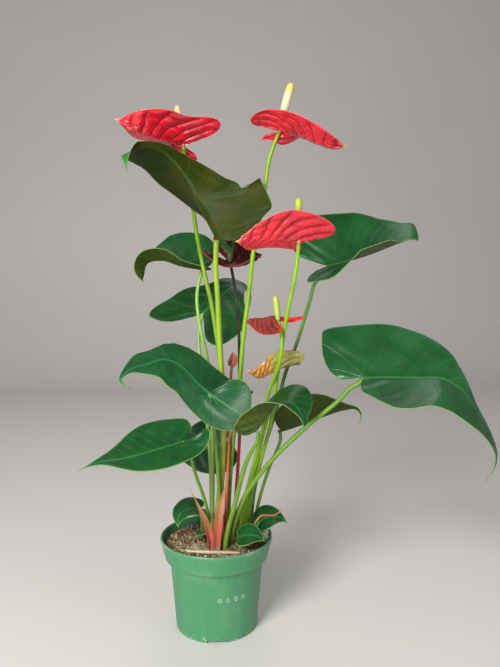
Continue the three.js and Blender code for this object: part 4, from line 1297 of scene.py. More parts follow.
def settle(piece: bpy.types.Object, slot: Slot, *nodes: str) -> None:
    """Fixes a piece to the part.

    Args:
        piece: The object.
        slot: Material slot of the part's record; not used.
        nodes: Solids that it stands for.
    """
    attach(piece, "root")
    if nodes:
        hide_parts(*nodes)
    LOG.info("%s: %d faces for %s", piece.name, len(piece.data.polygons), ", ".join(nodes) or "itself")


@dataclass(frozen=True)
class Division:
    """How finely a blade is divided.

    Attributes:
        rows: Strips from the notch to the tip.
        columns: Strips from the midrib to the margin.
    """

    rows: int
    columns: int


@dataclass
class Foliage:
    """The leaves, each a waxy blade with veins.

    Attributes:
        thickness: Thickness of a blade in millimetres.
        swell: Height of the swelling between its veins.
        fine: Division of a blade.
        coarse: Division of a small one.
        small: The small ones, close over the soil.
    """

    thickness: float = 0.6
    swell: float = 0.95
    fine: Division = Division(44, 10)
    coarse: Division = Division(24, 7)
    small: tuple[str, ...] = ("leaf_soil_left", "leaf_soil_right", "leaf_round", "leaf_tiny")

    @staticmethod
    def finishes() -> dict[str, LeafFinish]:
        """The finishes of the blades that differ from the common one."""
        return {
            "leaf_top": LeafFinish(
                "top_leaf_skin", upper=(0.018, 0.12, 0.018), under=(0.015, 0.028, 0.001), sheen=0.1
            ),
            # Slightly darker green above: painted shade at the back of the plant.
            "leaf_back": LeafFinish("shaded_back_leaf_skin", upper=(0.005, 0.042, 0.008)),
            "leaf_right_large": LeafFinish(
                "right_leaf_skin", upper=(0.005, 0.052, 0.012), gloss=0.26, sheen=0.40
            ),
            "leaf_left_large": LeafFinish(
                "left_leaf_skin", upper=(0.005, 0.050, 0.013), vein=(0.02, 0.11, 0.04)
            ),
            "leaf_left_high": LeafFinish("high_leaf_skin", under=(0.022, 0.050, 0.003), sheen=0.13),
            "leaf_right_low": LeafFinish("low_leaf_skin", under=(0.020, 0.038, 0.003), sheen=0.12),
            # Much darker on both sides: painted shade low at the back, under the other leaves.
            "leaf_rear_low": LeafFinish(
                "shaded_rear_leaf_skin", upper=(0.003, 0.022, 0.008), under=(0.003, 0.020, 0.006)
            ),
        }

    def relief(self, side: int, down: Array, across: Array) -> Array:
        """Gentle swelling between the veins, the same on both halves."""
        wave = np.cos(2 * np.pi * (6 * down + 1.2 * across))
        return self.swell * np.sin(np.pi * across) * wave * (1 - down)

    def build(self) -> None:
        """Makes every leaf."""
        common = LeafFinish("leaf_skin").build()
        finishes = self.finishes()
        for name, blade in LEAVES.items():
            material = finishes[name].build() if name in finishes else common
            small = name in self.small
            mesh = self.coarse if small else self.fine
            relief = None if small else self.relief
            piece = blade_mesh(blade, self.thickness, mesh.rows, mesh.columns, relief)
            settle(piece.make(name.replace("leaf", "blade"), material), Slot.LEAF, name)


BEAD_PITCH = 1.5  # length of a spike's bead in millimetres
BEAD_SLANT = 6  # half the number of bead rows that wind around a spike each way
BEAD_HOLLOW = 0.93  # factor on the radius between the beads
BEAD_HEIGHT = 0.10  # height of a bead as a factor on the radius
BEADS_CLOSE = 0.9  # share of the length from which the tip is rounded


def beads(turns: int, u: Array, angle: Array) -> Array:
    """Diamond lattice of beads with a rounded tip, as a factor on a spike's radius."""
    steps = np.pi * turns * u
    lattice = np.abs(np.sin(steps + BEAD_SLANT * angle) * np.sin(steps - BEAD_SLANT * angle))
    close = np.sqrt(np.clip(1 - ((u - BEADS_CLOSE) / (1 - BEADS_CLOSE)).clip(0, 1) ** 2, 0.02, 1))
    return (BEAD_HOLLOW + BEAD_HEIGHT * lattice) * close


@dataclass
class Blooms:
    """The flowers: a quilted hood and a beaded spike each.

    Attributes:
        thickness: Thickness of a hood in millimetres.
        fine: Division of a hood.
        coarse: Division of a small one.
        young: Division of the young flower.
    """

    thickness: float = 0.8
    fine: Division = Division(96, 22)
    coarse: Division = Division(48, 12)
    young: Division = Division(20, 6)

    def hoods(self) -> None:
        """Makes the hoods."""
        red = SpatheFinish("red_hood").build()
        finishes = {
            # The rear hood is a deep red darkened to near black: painted shade of the leaf over it.
            "spathe_rear": SpatheFinish(
                "shaded_dark_hood",
                upper=(0.085, 0.002, 0.004),
                under=(0.10, 0.002, 0.003),
                ageing=(0.05, 0.01, 0.01),
                aged=0.15,
                gloss=0.34,
                tip=(0.20, 0.02, 0.02),
            ),
            "spathe_faded": SpatheFinish(
                "faded_hood",
                upper=(0.58, 0.27, 0.035),
                under=(0.58, 0.26, 0.04),
                ageing=(0.26, 0.07, 0.015),
                aged=0.55,
                gloss=0.28,
                heel=(0.26, 0.27, 0.05),
            ),
            "spathe_small": SpatheFinish(
                "small_hood",
                upper=(0.22, 0.030, 0.024),
                under=(0.80, 0.010, 0.010),
                ageing=(0.16, 0.02, 0.01),
                aged=0.2,
                gloss=0.34,
                tip=(0.30, 0.10, 0.05),
                heel=(0.9, 0.01, 0.008),
                heel_from=0.12,
            ),
        }
        slots = {"spathe_rear": Slot.SPATHE_DARK, "spathe_faded": Slot.SPATHE_FADED}
        for name, blade in SPATHES.items():
            material = finishes[name].build() if name in finishes else red
            mesh = self.coarse if name in ("spathe_faded", "spathe_small") else self.fine
            piece = blade_mesh(blade, self.thickness, mesh.rows, mesh.columns, quilt)
            made = piece.make(name.replace("spathe", "hood"), material)
            settle(made, slots.get(name, Slot.SPATHE), name)

    def spikes(self) -> None:
        """Makes the beaded spikes."""
        cream = SpadixFinish("cream_beads").build()
        lime = SpadixFinish("lime_beads", (0.30, 0.42, 0.12), (0.36, 0.46, 0.08), (0.46, 0.54, 0.02))
        # The rear spike's green is darkened as painted shade of the leaf over it.
        green = SpadixFinish("shaded_green_beads", (0.05, 0.10, 0.02), (0.06, 0.12, 0.03), (0.05, 0.10, 0.03))
        mint = SpadixFinish("mint_beads", (0.24, 0.36, 0.18), (0.32, 0.46, 0.28), (0.36, 0.50, 0.32))
        lime_beads = lime.build()
        materials = {
            "spadix_top_left": SpadixFinish("pale_beads", tip=(0.64, 0.58, 0.24)).build(),
            "spadix_middle": lime_beads,
            "spadix_small": lime_beads,
            "spadix_rear": green.build(),
            "spadix_faded": mint.build(),
        }
        for name, spike in SPIKES.items():
            turns = round(spike.length / BEAD_PITCH)
            piece = tube(spike, 60, max(40, turns * 5), partial(beads, turns))
            piece.values["rise"] = 1 - piece.values["rise"]
            # Bead height, 0 in the hollows between the beads, where the spike finish paints shade.
            piece.values["bead"] = np.clip((piece.values["bead"] - BEAD_HOLLOW) / BEAD_HEIGHT, 0, 1)
            made = piece.make(name.replace("spadix", "spike"), materials.get(name, cream))
            settle(made, Slot.SPADIX_GREEN if name == "spadix_rear" else Slot.SPADIX, name)

    def build(self) -> None:
        """Makes every flower, the young one last."""
        self.hoods()
        self.spikes()
        # Without quilting the bud's rise is 1 all over, so the painted highlight of the hood finish
        # covers all of it.
        finish = SpatheFinish("bud_skin", (0.24, 0.05, 0.03), (0.22, 0.06, 0.03)).build()
        bud = blade_mesh(BUD, self.thickness, self.young.rows, self.young.columns)
        settle(bud.make("young_flower", finish), Slot.BUD, "bud")


@dataclass
class Stems:
    """Leaf and flower stems.

    Attributes:
        depth: Height at which they end in the soil, in millimetres.
        joint: Length of the swelling under a blade, in millimetres.
        leaf_swell: Height of a leaf's swelling, as a share of the radius.
        flower_swell: Height of a flower's.
        rib: Height of the faint ribs, as a share of the radius.
    """

    depth: float = 79.0
    joint: float = 14.0
    leaf_swell: float = 0.14
    flower_swell: float = 0.04
    rib: float = 0.03

    def section(self, length: float, swell: float, u: Array, angle: Array) -> Array:
        """Swelling under the blade, and a slightly ribbed section.

        Args:
            length: Length of the stem in millimetres.
            swell: Height of the swelling, as a share of the radius.
            u: Share of the length below the blade.
            angle: Place around the stem.

        Returns:
            Factor on the radius.
        """
        middle = self.joint * 0.5
        joint = swell * np.exp(-(((u * length - middle) / middle) ** 2))
        return 1 + joint + self.rib * np.cos(3 * angle + 4 * u)

    @staticmethod
    def materials() -> dict[str, bpy.types.Material]:
        """The materials by stem, with the common ones under leaf and flower."""
        pale = StemFinish(
            "pale_stem_skin", (0.193, 0.375, 0.068), (0.170, 0.273, 0.046), (0.170, 0.312, 0.057)
        ).build()
        rosy = StemFinish(
            "rosy_stem_skin", (0.34, 0.12, 0.04), (0.56, 0.06, 0.07), (0.12, 0.18, 0.03)
        ).build()
        return {
            "leaf": StemFinish(
                "leaf_stem_skin", (0.096, 0.227, 0.017), (0.114, 0.193, 0.017), (0.079, 0.159, 0.022)
            ).build(),
            "flower": StemFinish(
                "flower_stem_skin", (0.187, 0.352, 0.009), (0.125, 0.238, 0.011), (0.170, 0.227, 0.028)
            ).build(),
            "petiole_top": StemFinish(
                "main_stem_skin", (0.216, 0.352, 0.017), (0.238, 0.249, 0.028), (0.136, 0.227, 0.028)
            ).build(),
            "petiole_left_high": pale,
            "petiole_back": pale,
            "petiole_right_high": StemFinish(
                "blue_stem_skin", (0.085, 0.185, 0.030), (0.060, 0.150, 0.022), (0.060, 0.110, 0.014)
            ).build(),
            "petiole_rear_low": rosy,
            "stalk_top_left": StemFinish(
                "pink_stem_skin",
                (0.15, 0.27, 0.012),
                (0.13, 0.21, 0.018),
                (0.11, 0.20, 0.02),
                foot=(0.56, 0.055, 0.075),
                reach=0.44,
            ).build(),
            "stalk_rear": StemFinish(
                "dark_stem_skin",
                (0.007, 0.006, 0.005),
                (0.20, 0.21, 0.08),
                (0.01, 0.01, 0.01),
                foot=(0.58, 0.04, 0.055),
                reach=0.46,
            ).build(),
            "stalk_bud": rosy,
        }

    def build(self) -> None:
        """Makes every stem."""
        materials = self.materials()
        for name, stem in STEMS.items():
            foot = stem.line[-1]
            buried = Rod((*stem.line, (foot[0], foot[1], self.depth)), stem.radii)
            leafy = name.startswith("petiole")
            swell = self.leaf_swell if leafy else self.flower_swell
            section = partial(self.section, buried.length, swell)
            piece = tube(buried, 14, max(12, round(buried.length / 5)), section)
            material = materials.get(name, materials["leaf" if leafy else "flower"])
            title = name.replace("petiole", "leaf_stem").replace("stalk", "flower_stem")
            settle(piece.make(title, material), Slot.PETIOLE if leafy else Slot.STALK, name)


@dataclass
class Crown:
    """Dry sheaths, a twig and a surface root where the stems meet the soil.

    Attributes:
        thickness: Thickness of a sheath in millimetres.
        mesh: Division of a sheath.
    """

    thickness: float = 0.5
    mesh: Division = Division(24, 5)

    def build(self) -> None:
        """Makes the pieces of the crown."""
        salmon = StemFinish(
            "dry_sheath_skin",
            (0.27, 0.14, 0.055),
            (0.30, 0.065, 0.03),
            (0.20, 0.10, 0.045),
            foot=(0.36, 0.07, 0.05),
            reach=0.45,
        ).build()
        pale = StemFinish("root_skin", (0.55, 0.47, 0.30), (0.50, 0.42, 0.26), (0.5, 0.42, 0.26)).build()
        for name, blade in SHEATHS.items():
            piece = blade_mesh(blade, self.thickness, self.mesh.rows, self.mesh.columns)
            z = piece.points[:, 2]
            piece.values["rise"] = (z - z.min()) / np.ptp(z)
            settle(piece.make(name.replace("sheath", "dry_sheath"), salmon), Slot.SHEATH, name)
        settle(tube(TWIG, 10, 30).make("dry_sheath_right", salmon), Slot.SHEATH, "sheath_right")
        settle(tube(ROOT, 12, 30).make("surface_root", pale), Slot.ROOT, "root_front")


@dataclass
class NurseryPot:
    """The moulded pot.

    Attributes:
        height: Height in millimetres.
        rim: Radius of the rim.
        band_foot: Radius of the rim band's lower edge.
        band: Height of the rim band.
        body: Radius of the body under the band.
        base: Radius at the foot.
        wall: Thickness of the wall.
        lift: Height of the floor's underside.
        floor: Thickness of the floor.
        foot: Width of the ring it stands on.
        pad: Radius of the pad in the middle.
        notch: Width of the notches through the ring.
        notches: Number of notches.
        drain: Radius of a drain hole.
        drain_circle: Radius of their circle.
        drains: Number of drain holes.
        sides: Corners around the pot.
        corner: Angle in degrees from which an edge is shaded sharp.
    """

    height: float = 97
    rim: float = 60
    band_foot: float = 55
    band: float = 21
    body: float = 49.6
    base: float = 43.4
    wall: float = 1.4
    lift: float = 3
    floor: float = 1.9
    foot: float = 11
    pad: float = 12
    notch: float = 20
    notches: int = 4
    drain: float = 3
    drain_circle: float = 22
    drains: int = 8
    sides: int = 128
    corner: float = 32

    def wall_at(self, height: Array) -> Array:
        """Outer radius of the body under the band at a height."""
        foot, head = 2.2, self.height - self.band - 3
        return self.base + 0.1 + (self.body - self.base - 0.1) * (height - foot) / (head - foot)

    def profile(self) -> list[tuple[float, float]]:
        """The wall's section as (radius, height), counter-clockwise from the middle."""
        low = self.height - self.band
        return [
            (0, 0),
            (self.pad, 0),
            (self.pad + 1, self.lift),
            (self.base - self.foot - 1, self.lift),
            (self.base - self.foot, 0),
            (self.base - 1.4, 0),
            (self.base - 0.6, 0.3),
            (self.base, 1.2),
            (self.base + 0.1, 2.2),
            (self.body, low - 3),
            (self.body + 0.25, low - 2.2),
            (self.body + 0.9, low - 1.6),
            (self.band_foot - 1.5, low - 1.1),
            (self.band_foot - 0.6, low - 0.8),
            (self.band_foot - 0.1, low),
            (self.band_foot + 0.1, low + 1.2),
            (self.rim - 0.45, self.height - 3.4),
            (self.rim - 0.05, self.height - 2.4),
            (self.rim, self.height - 1.4),
            (self.rim - 0.15, self.height - 0.6),
            (self.rim - 0.7, self.height),
            (self.rim - self.wall - 0.2, self.height),
            (self.rim - self.wall - 0.7, self.height - 0.6),
            (self.rim - self.wall - 0.9, self.height - 1.6),
            (self.band_foot - self.wall, low + 1),
            (self.body - self.wall, low - 3),
            (self.base - self.wall, self.lift + self.floor),
            (0, self.lift + self.floor),
        ]

    def shell(self) -> MeshPiece:
        """The turned body."""
        ring = self.profile()
        angles = np.linspace(0, 2 * np.pi, self.sides, endpoint=False)
        points, first = [], []
        for r, z in ring:
            first.append(len(points))
            if r == 0:
                points.append((0.0, 0.0, z))
            else:
                points.extend((r * math.cos(a), r * math.sin(a), z) for a in angles)
        faces = []
        for i in range(len(ring) - 1):
            a, b = first[i], first[i + 1]
            for k in range(self.sides):
                m = (k + 1) % self.sides
                if ring[i][0] == 0:
                    faces.append((a, b + m, b + k))
                elif ring[i + 1][0] == 0:
                    faces.append((a + k, a + m, b))
                else:
                    faces.append((a + k, a + m, b + m, b + k))
        return MeshPiece(np.array(points) * MM, faces)

    def cutters(self) -> list[bpy.types.Object]:
        """Bodies of the notches and drain holes."""
        made = []
        for k in range(self.notches):
            bpy.ops.mesh.primitive_cube_add(size=1)
            box = bpy.context.object
            middle = (self.base - self.foot / 2 + 3) * MM
            turn = k * 2 * math.pi / self.notches
            box.scale = ((self.foot + 12) * MM, self.notch * MM, (self.lift + 2) * MM)
            box.location = (middle * math.cos(turn), middle * math.sin(turn), (self.lift - 2) / 2 * MM)
            box.rotation_euler = (0, 0, turn)
            made.append(box)
        for k in range(self.drains):
            turn = (k + 0.5) * 2 * math.pi / self.drains
            bpy.ops.mesh.primitive_cylinder_add(radius=self.drain * MM, depth=12 * MM, vertices=24)
            hole = bpy.context.object
            where = self.drain_circle * MM
            hole.location = (where * math.cos(turn), where * math.sin(turn), self.lift * MM)
            made.append(hole)
        return made

    def build(self) -> None:
        """Makes the pot."""
        pot = self.shell().make("nursery_pot", PlasticFinish("pot_plastic").build())
        cutters = self.cutters()
        for tool in cutters:
            cut = pot.modifiers.new("cut", "BOOLEAN")
            cut.operation = "DIFFERENCE"
            cut.solver = "EXACT"
            cut.object = tool
        bpy.context.view_layer.update()
        seen = pot.evaluated_get(bpy.context.evaluated_depsgraph_get())
        mesh = bpy.data.meshes.new_from_object(seen)
        pot.modifiers.clear()
        pot.data = mesh
        for tool in cutters:
            bpy.data.objects.remove(tool)
        mesh.set_sharp_from_angle(angle=math.radians(self.corner))
        settle(pot, Slot.POT, "pot")


class Mark(Enum):
    """Plain care marks printed on the pot."""

    SUN = "sun"
    DROP = "drop"
    LEAF = "leaf"
    WAVES = "waves"

    def strokes(self) -> list[Array]:
        """Its lines, in millimetres from its middle."""
        a = np.linspace(0, 2 * np.pi, 25)
        if self is Mark.SUN:
            ways = [np.array([math.cos(turn), math.sin(turn)]) for turn in np.arange(8) * np.pi / 4]
            rays = [np.stack([1.9 * way, 2.7 * way]) for way in ways]
            return [1.3 * np.stack([np.cos(a), np.sin(a)], -1), *rays]
        if self is Mark.DROP:
            return [np.stack([1.9 * np.sin(a) * np.sin(a / 2) ** 1.5, 2.5 * np.cos(a)], -1)]
        if self is Mark.LEAF:
            blade = np.stack([1.5 * np.sin(a) * (1 - 0.3 * np.cos(a)), -2.5 * np.cos(a)], -1)
            return [blade, np.array([(0.0, -2.6), (0.0, 1.6)])]
        x = np.linspace(-2.4, 2.4, 17)
        return [np.stack([x, 0.5 * np.sin(2.6 * x) + shift], -1) for shift in (-1.5, 0.0, 1.5)]


@dataclass
class Marks:
    """A row of plain marks on the front of the pot.

    Attributes:
        pot: The pot that carries them.
        height: Height of the row.
        first: Place of the first mark around the wall, from the front's middle.
        step: Distance between marks.
        width: Width of a line.
        ink: Height of the ink over the wall.
    """

    pot: NurseryPot
    height: float = 47.0
    first: float = 3.0
    step: float = 8.5
    width: float = 0.42
    ink: float = 0.12

    def build(self) -> None:
        """Makes the marks."""
        parts = []
        for k, mark in enumerate(Mark):
            for line in mark.strokes():
                run = unit(np.gradient(line, axis=0))
                side = np.stack([-run[:, 1], run[:, 0]], -1) * self.width / 2
                flat = np.concatenate([line + side, line - side])
                flat = flat + (self.first + k * self.step, self.height)
                r = self.pot.wall_at(flat[:, 1]) + self.ink
                turn = flat[:, 0] / r - math.pi / 2
                points = np.stack([r * np.cos(turn), r * np.sin(turn), flat[:, 1]], -1)
                n = len(line)
                parts.append(MeshPiece(points * MM, [(i, i + n, i + n + 1, i + 1) for i in range(n - 1)]))
        settle(MeshPiece.joined(parts).make("care_marks", PaintFinish("pale_ink").build()), Slot.POT)


GOLDEN = (1 + 5**0.5) / 2
LUMP_SIZE = 1.9  # distance of a lump's corners from its middle before it is scaled
LUMP_CORNERS = (
    (-1, GOLDEN, 0), (1, GOLDEN, 0), (-1, -GOLDEN, 0), (1, -GOLDEN, 0), (0, -1, GOLDEN), (0, 1, GOLDEN),
    (0, -1, -GOLDEN), (0, 1, -GOLDEN), (GOLDEN, 0, -1), (GOLDEN, 0, 1), (-GOLDEN, 0, -1), (-GOLDEN, 0, 1),
)
LUMP_FACES = [
    (0, 11, 5), (0, 5, 1), (0, 1, 7), (0, 7, 10), (0, 10, 11), (1, 5, 9), (5, 11, 4), (11, 10, 2),
    (10, 7, 6), (7, 1, 8), (3, 9, 4), (3, 4, 2), (3, 2, 6), (3, 6, 8), (3, 8, 9), (4, 9, 5), (2, 4, 11),
    (6, 2, 10), (8, 6, 7), (9, 8, 1),
]


@dataclass
class PottingMix:
    """Soil in the pot with fibres, moss and crumbs, a low crust and a pale rind at the right.

    Attributes:
        level: Height of the surface in millimetres.
        relief: Height of its lumps.
        crust: Height that the crust climbs.
        crust_at: Middle of the crust in plan.
        crust_reach: How far it spreads both ways.
        edge: Radius of the surface.
        under: Radius and height along the underside, from the wall to the floor.
        rings: Rings of the surface.
        sides: Corners of a ring.
        waves: Number of the ripples that make the surface crumbly.
        ripple: Height of a ripple.
        seed: Seed of the loose pieces.
    """

    level: float = 89
    relief: float = 1.5
    crust: float = 5
    crust_at: tuple[float, float] = (44, 24)
    crust_reach: tuple[float, float] = (10, 16)
    edge: float = 56.0
    under: tuple[tuple[float, float], ...] = ((53.3, 77.2), (47.8, 73.2), (41.5, 5.4))
    rings: int = 46
    sides: int = 150
    waves: int = 60
    ripple: float = 0.45
    seed: int = 11

    def top(self, x: Array, y: Array) -> Array:
        """Height of the soil over a place in plan."""
        lumps = (
            np.sin(0.21 * x + 1.3) * np.cos(0.17 * y - 0.4)
            + 0.6 * np.sin(0.43 * x - 0.31 * y)
            + 0.35 * np.sin(0.9 * x + 0.6 * y)
        )
        across = ((x - self.crust_at[0]) / self.crust_reach[0]) ** 2
        along = ((y - self.crust_at[1]) / self.crust_reach[1]) ** 2
        return self.level + self.relief * lumps + self.crust * np.exp(-across - along)

    def surface(self) -> MeshPiece:
        """The body of the soil with a crumbly top."""
        rng = np.random.default_rng(self.seed)
        rings, sides = self.rings, self.sides
        waves = rng.uniform(0.5, 2.6, (self.waves, 2)) * rng.choice([-1, 1], (self.waves, 2))
        phases = rng.uniform(0, 2 * np.pi, self.waves)
        heights = 0.55 / np.hypot(*waves.T)
        points = [(0.0, 0.0, float(self.top(0, 0)))]
        angle = np.linspace(0, 2 * np.pi, sides, endpoint=False)
        for i in range(1, rings + 1):
            r = self.edge * (i / rings) ** 0.8
            x, y = r * np.cos(angle), r * np.sin(angle)
            fine = (heights * np.sin(x[:, None] * waves[:, 0] + y[:, None] * waves[:, 1] + phases)).sum(1)
            fade = min(1.0, (rings - i) / 3)
            z = self.top(x, y) * fade + (self.level - 1) * (1 - fade) + self.ripple * fine * fade
            points.extend(zip(x, y, z))
        for r, z in self.under:
            points.extend((r * math.cos(a), r * math.sin(a), z) for a in angle)
        points.append((0.0, 0.0, self.under[-1][1]))
        faces = []
        total = rings + len(self.under)
        for k in range(sides):
            m = (k + 1) % sides
            faces.append((0, 1 + k, 1 + m))
            for i in range(total - 1):
                a, b = 1 + i * sides, 1 + (i + 1) * sides
                faces.append((a + k, b + k, b + m, a + m))
            faces.append((len(points) - 1, 1 + (total - 1) * sides + m, 1 + (total - 1) * sides + k))
        points = np.array(points)
        # Painted shade: darker where the surface lies below its smooth lumps, in the hollows of the
        # ripples and where it sinks by the wall.
        shade_and_tone = np.clip((self.top(points[:, 0], points[:, 1]) - points[:, 2]) * 0.6 + 0.3, 0, 1)
        return MeshPiece(points * MM, faces, {"shade_and_tone": shade_and_tone})

    def spots(self, rng: np.random.Generator, count: int, reach: float) -> Array:
        """Random places on the surface, up to a share of its radius."""
        r = self.edge * reach * np.sqrt(rng.uniform(0, 1, count))
        a = rng.uniform(0, 2 * np.pi, count)
        x, y = r * np.cos(a), r * np.sin(a)
        return np.stack([x, y, self.top(x, y)], -1)

    def patch(
        self, rng: np.random.Generator, count: int, middle: tuple[float, float], spread: float
    ) -> Array:
        """Random places around a point on the surface."""
        x, y = (rng.normal(0, spread, (count, 2)) + middle).T
        inside = np.hypot(x, y) < self.edge * 0.94
        x, y = x[inside], y[inside]
        return np.stack([x, y, self.top(x, y)], -1)

    def rind(self, rng: np.random.Generator, count: int) -> Array:
        """Random places in the pale lump that stands at the right of the rim."""
        rise = 20 * rng.uniform(0, 1, count) ** 1.5
        slim = 1 - rise / 24
        turn = rng.uniform(-0.22, 0.18, count) * slim
        r = 52.5 + rng.uniform(-4, 3, count) * slim
        return np.stack([r * np.cos(turn), r * np.sin(turn), self.level + rise], -1)

    def fibres(
        self, rng: np.random.Generator, spots: Array, length: tuple[float, float], thick: float
    ) -> MeshPiece:
        """Loose bent fibres lying on the soil."""
        parts = []
        for spot in spots:
            size = rng.uniform(*length)
            a = rng.uniform(0, 2 * np.pi)
            bend = rng.uniform(-1.2, 1.2)
            line = []
            for k, u in enumerate((-0.5, 0.0, 0.5)):
                turn = a + bend * u
                x, y = spot[0] + size * u * math.cos(turn), spot[1] + size * u * math.sin(turn)
                r = math.hypot(x, y)
                if r > self.edge - 1:
                    x, y = x * (self.edge - 1) / r, y * (self.edge - 1) / r
                lift = rng.uniform(0.2, 2.2) if k == 1 else rng.uniform(-0.3, 1.4)
                line.append((x, y, float(self.top(x, y)) + thick + lift))
            part = tube(Rod(line, (thick * 0.5, thick, thick * 0.5)), 5, 7)
            part.values = {"shade_and_tone": np.full(len(part.points), rng.uniform(0, 0.7))}
            parts.append(part)
        return MeshPiece.joined(parts)

    def crumbs(
        self, rng: np.random.Generator, spots: Array, size: tuple[float, float], flat: float
    ) -> MeshPiece:
        """Angular lumps lying on the soil."""
        parts = []
        base = np.array(LUMP_CORNERS) / LUMP_SIZE
        for spot in spots:
            half = rng.uniform(*size) / 2
            turn = Euler(rng.uniform(0, 6.28, 3)).to_matrix()
            rough = base * rng.uniform(0.55, 1.25, (len(base), 1))
            shape = rough * np.array([rng.uniform(0.8, 1.6), 1, flat]) * half
            points = shape @ np.array(turn).T + spot + (0, 0, half * flat * 0.6)
            shade_and_tone = np.full(len(base), rng.uniform(0, 0.6))
            parts.append(MeshPiece(points * MM, LUMP_FACES, {"shade_and_tone": shade_and_tone}))
        return MeshPiece.joined(parts)

    def build(self) -> None:
        """Makes the soil and what lies on it."""
        rng = np.random.default_rng(self.seed)
        peat = LooseFinish("peat", (0.055, 0.030, 0.014), (0.24, 0.15, 0.075)).build()
        coir = LooseFinish("coir", (0.20, 0.12, 0.06), (0.45, 0.31, 0.17), 600.0).build()
        straw = LooseFinish("pale_moss", (0.36, 0.34, 0.22), (0.66, 0.62, 0.44), 500.0).build()
        chalk = LooseFinish("perlite", (0.45, 0.42, 0.36), (0.72, 0.70, 0.63), 700.0).build()
        settle(self.surface().make("potting_mix", peat), Slot.SOIL, "soil")
        tufts = np.concatenate([self.patch(rng, 170, (-26, -18), 9), self.patch(rng, 90, (12, -34), 8)])
        for name, material, spots, length, thick in (
            ("coir_fibres", coir, lambda: self.spots(rng, 520, 0.9), (5, 16), 0.28),
            ("moss_strands", straw, lambda: self.spots(rng, 200, 0.9), (4, 12), 0.3),
            ("moss_tufts", straw, lambda: tufts, (3, 9), 0.34),
        ):
            settle(self.fibres(rng, spots(), length, thick).make(name, material), Slot.SOIL)
        for name, material, spots, size, flat in (
            ("peat_crumbs", peat, lambda: self.spots(rng, 620, 0.93), (1.2, 4.2), 0.6),
            ("bark_chips", coir, lambda: self.spots(rng, 160, 0.93), (2.5, 6.5), 0.35),
            ("perlite_grains", chalk, lambda: self.spots(rng, 60, 0.93), (1.4, 3.4), 0.9),
            ("pale_rind", chalk, lambda: self.rind(rng, 420), (1.4, 4.4), 0.9),
        ):
            settle(self.crumbs(rng, spots(), size, flat).make(name, material, False), Slot.SOIL)


@dataclass(frozen=True)
class Lamp:
    """A soft round panel of light.

    Attributes:
        name: Its name.
        place: Where it stands, in metres.
        target: Point that it faces.
        size: Its diameter in metres.
        power: Its power in watts.
        colour: Its colour.
    """

    name: str
    place: Point
    target: Point
    size: float
    power: float
    colour: Colour

    def build(self) -> None:
        """Adds the lamp."""
        data = bpy.data.lights.new(self.name, "AREA")
        data.shape = "DISK"
        data.size = self.size
        data.energy = self.power
        data.color = self.colour
        lamp = bpy.data.objects.new(self.name, data)
        lamp.location = self.place
        line = np.asarray(self.target, float) - np.asarray(self.place, float)
        fall = math.atan2(-line[2], math.hypot(line[0], line[1]))
        turn = math.atan2(line[1], line[0])
        lamp.rotation_euler = (math.pi / 2 - fall, 0, turn - math.pi / 2)
        bpy.context.scene.collection.objects.link(lamp)


MIDDLE: Point = (0.02, 0.0, 0.28)
CROWN: Point = (0.0, 0.0, 0.46)
LAMPS = (
    Lamp("key", (-0.75, -1.25, 1.05), MIDDLE, 0.7, 36.0, (1.0, 0.98, 0.95)),
    Lamp("fill", (1.3, -0.9, 0.6), MIDDLE, 1.2, 6.0, (0.96, 0.98, 1.0)),
    Lamp("rear", (0.2, 0.9, 1.7), MIDDLE, 1.2, 6.0, (1.0, 1.0, 1.0)),
    Lamp("front", (-0.45, -1.1, 0.12), CROWN, 0.35, 7.0, (1.0, 0.98, 0.96)),
)


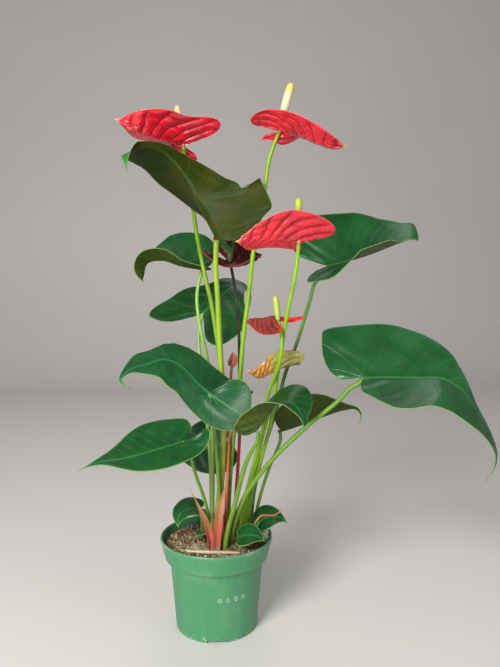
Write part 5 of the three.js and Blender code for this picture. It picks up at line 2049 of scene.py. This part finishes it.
@dataclass
class Studio:
    """Camera, floor and soft light.

    Attributes:
        place: Where the camera stands, in metres.
        down: Angle that it looks down, in degrees.
        right: Angle that it looks to the right.
        focal: Focal length in pixels of the picture.
        picture: Width and height of the picture in pixels.
        sensor: Width of the camera's sensor in millimetres.
        room: Colour of the light from all around.
        strength: Its strength.
        front: How far the floor reaches to the front, in metres.
        back: How far the wall stands behind.
        half: Half the floor's width.
        head: Height of the wall.
        sweep: Radius of the bend between the two.
    """

    place: Point = (0.0, -0.632, 0.354)
    down: float = 3.7
    right: float = 3.26
    focal: float = 600.0
    picture: tuple[int, int] = (500, 667)
    sensor: float = 36.0
    room: Colour = (0.86, 0.84, 0.82)
    strength: float = 0.30
    front: float = 4.0
    back: float = 2.2
    half: float = 3.0
    head: float = 3.5
    sweep: float = 0.6

    def camera(self) -> None:
        """Sets the camera up."""
        data = bpy.data.cameras.new("camera")
        data.sensor_width = self.sensor
        data.lens = self.sensor * self.focal / max(self.picture)
        data.clip_start = 0.01
        camera = bpy.data.objects.new("camera", data)
        camera.location = self.place
        camera.rotation_euler = (math.radians(90 - self.down), 0, -math.radians(self.right))
        bpy.context.scene.collection.objects.link(camera)
        bpy.context.scene.camera = camera

    def build(self) -> None:
        """Sets the stage."""
        world = bpy.data.worlds.new("soft_room")
        bpy.context.scene.world = world
        bpy.context.scene.view_settings.view_transform = "Standard"
        world.use_nodes = True
        back = world.node_tree.nodes["Background"]
        back.inputs["Color"].default_value = (*self.room, 1)
        back.inputs["Strength"].default_value = self.strength
        for lamp in LAMPS:
            lamp.build()
        floor = self.floor()

    def floor(self) -> bpy.types.Object:
        """A pale floor that sweeps up behind the part."""
        s = Shader("pale_floor")
        cloud = s.noise(s.place(), 3.0, 2.0)
        s.feed("Base Color", s.mix(cloud, (0.62, 0.60, 0.58), (0.65, 0.63, 0.61)))
        s.plain(Roughness=0.6)
        start, bend = self.back - self.sweep, self.sweep
        line = [(-self.front, 0.0), (start, 0.0)]
        for a in np.linspace(0.1, math.pi / 2, 14):
            line.append((start + bend * math.sin(a), bend - bend * math.cos(a)))
        line.append((self.back, self.head))
        points = np.array([(x, y, z) for y, z in line for x in (-self.half, self.half)])
        faces = [(2 * i, 2 * i + 1, 2 * i + 3, 2 * i + 2) for i in range(len(line) - 1)]
        return MeshPiece(points, faces).make("floor_sweep", s.material)


def main() -> None:
    """Builds the scene."""
    logging.basicConfig(level=logging.INFO, format="%(message)s")
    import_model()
    studio = Studio()
    studio.camera()
    pot = NurseryPot()
    pot.build()
    Marks(pot).build()
    PottingMix().build()
    Stems().build()
    Foliage().build()
    Blooms().build()
    Crown().build()
    studio.build()


if __name__ == "__main__":
    main()
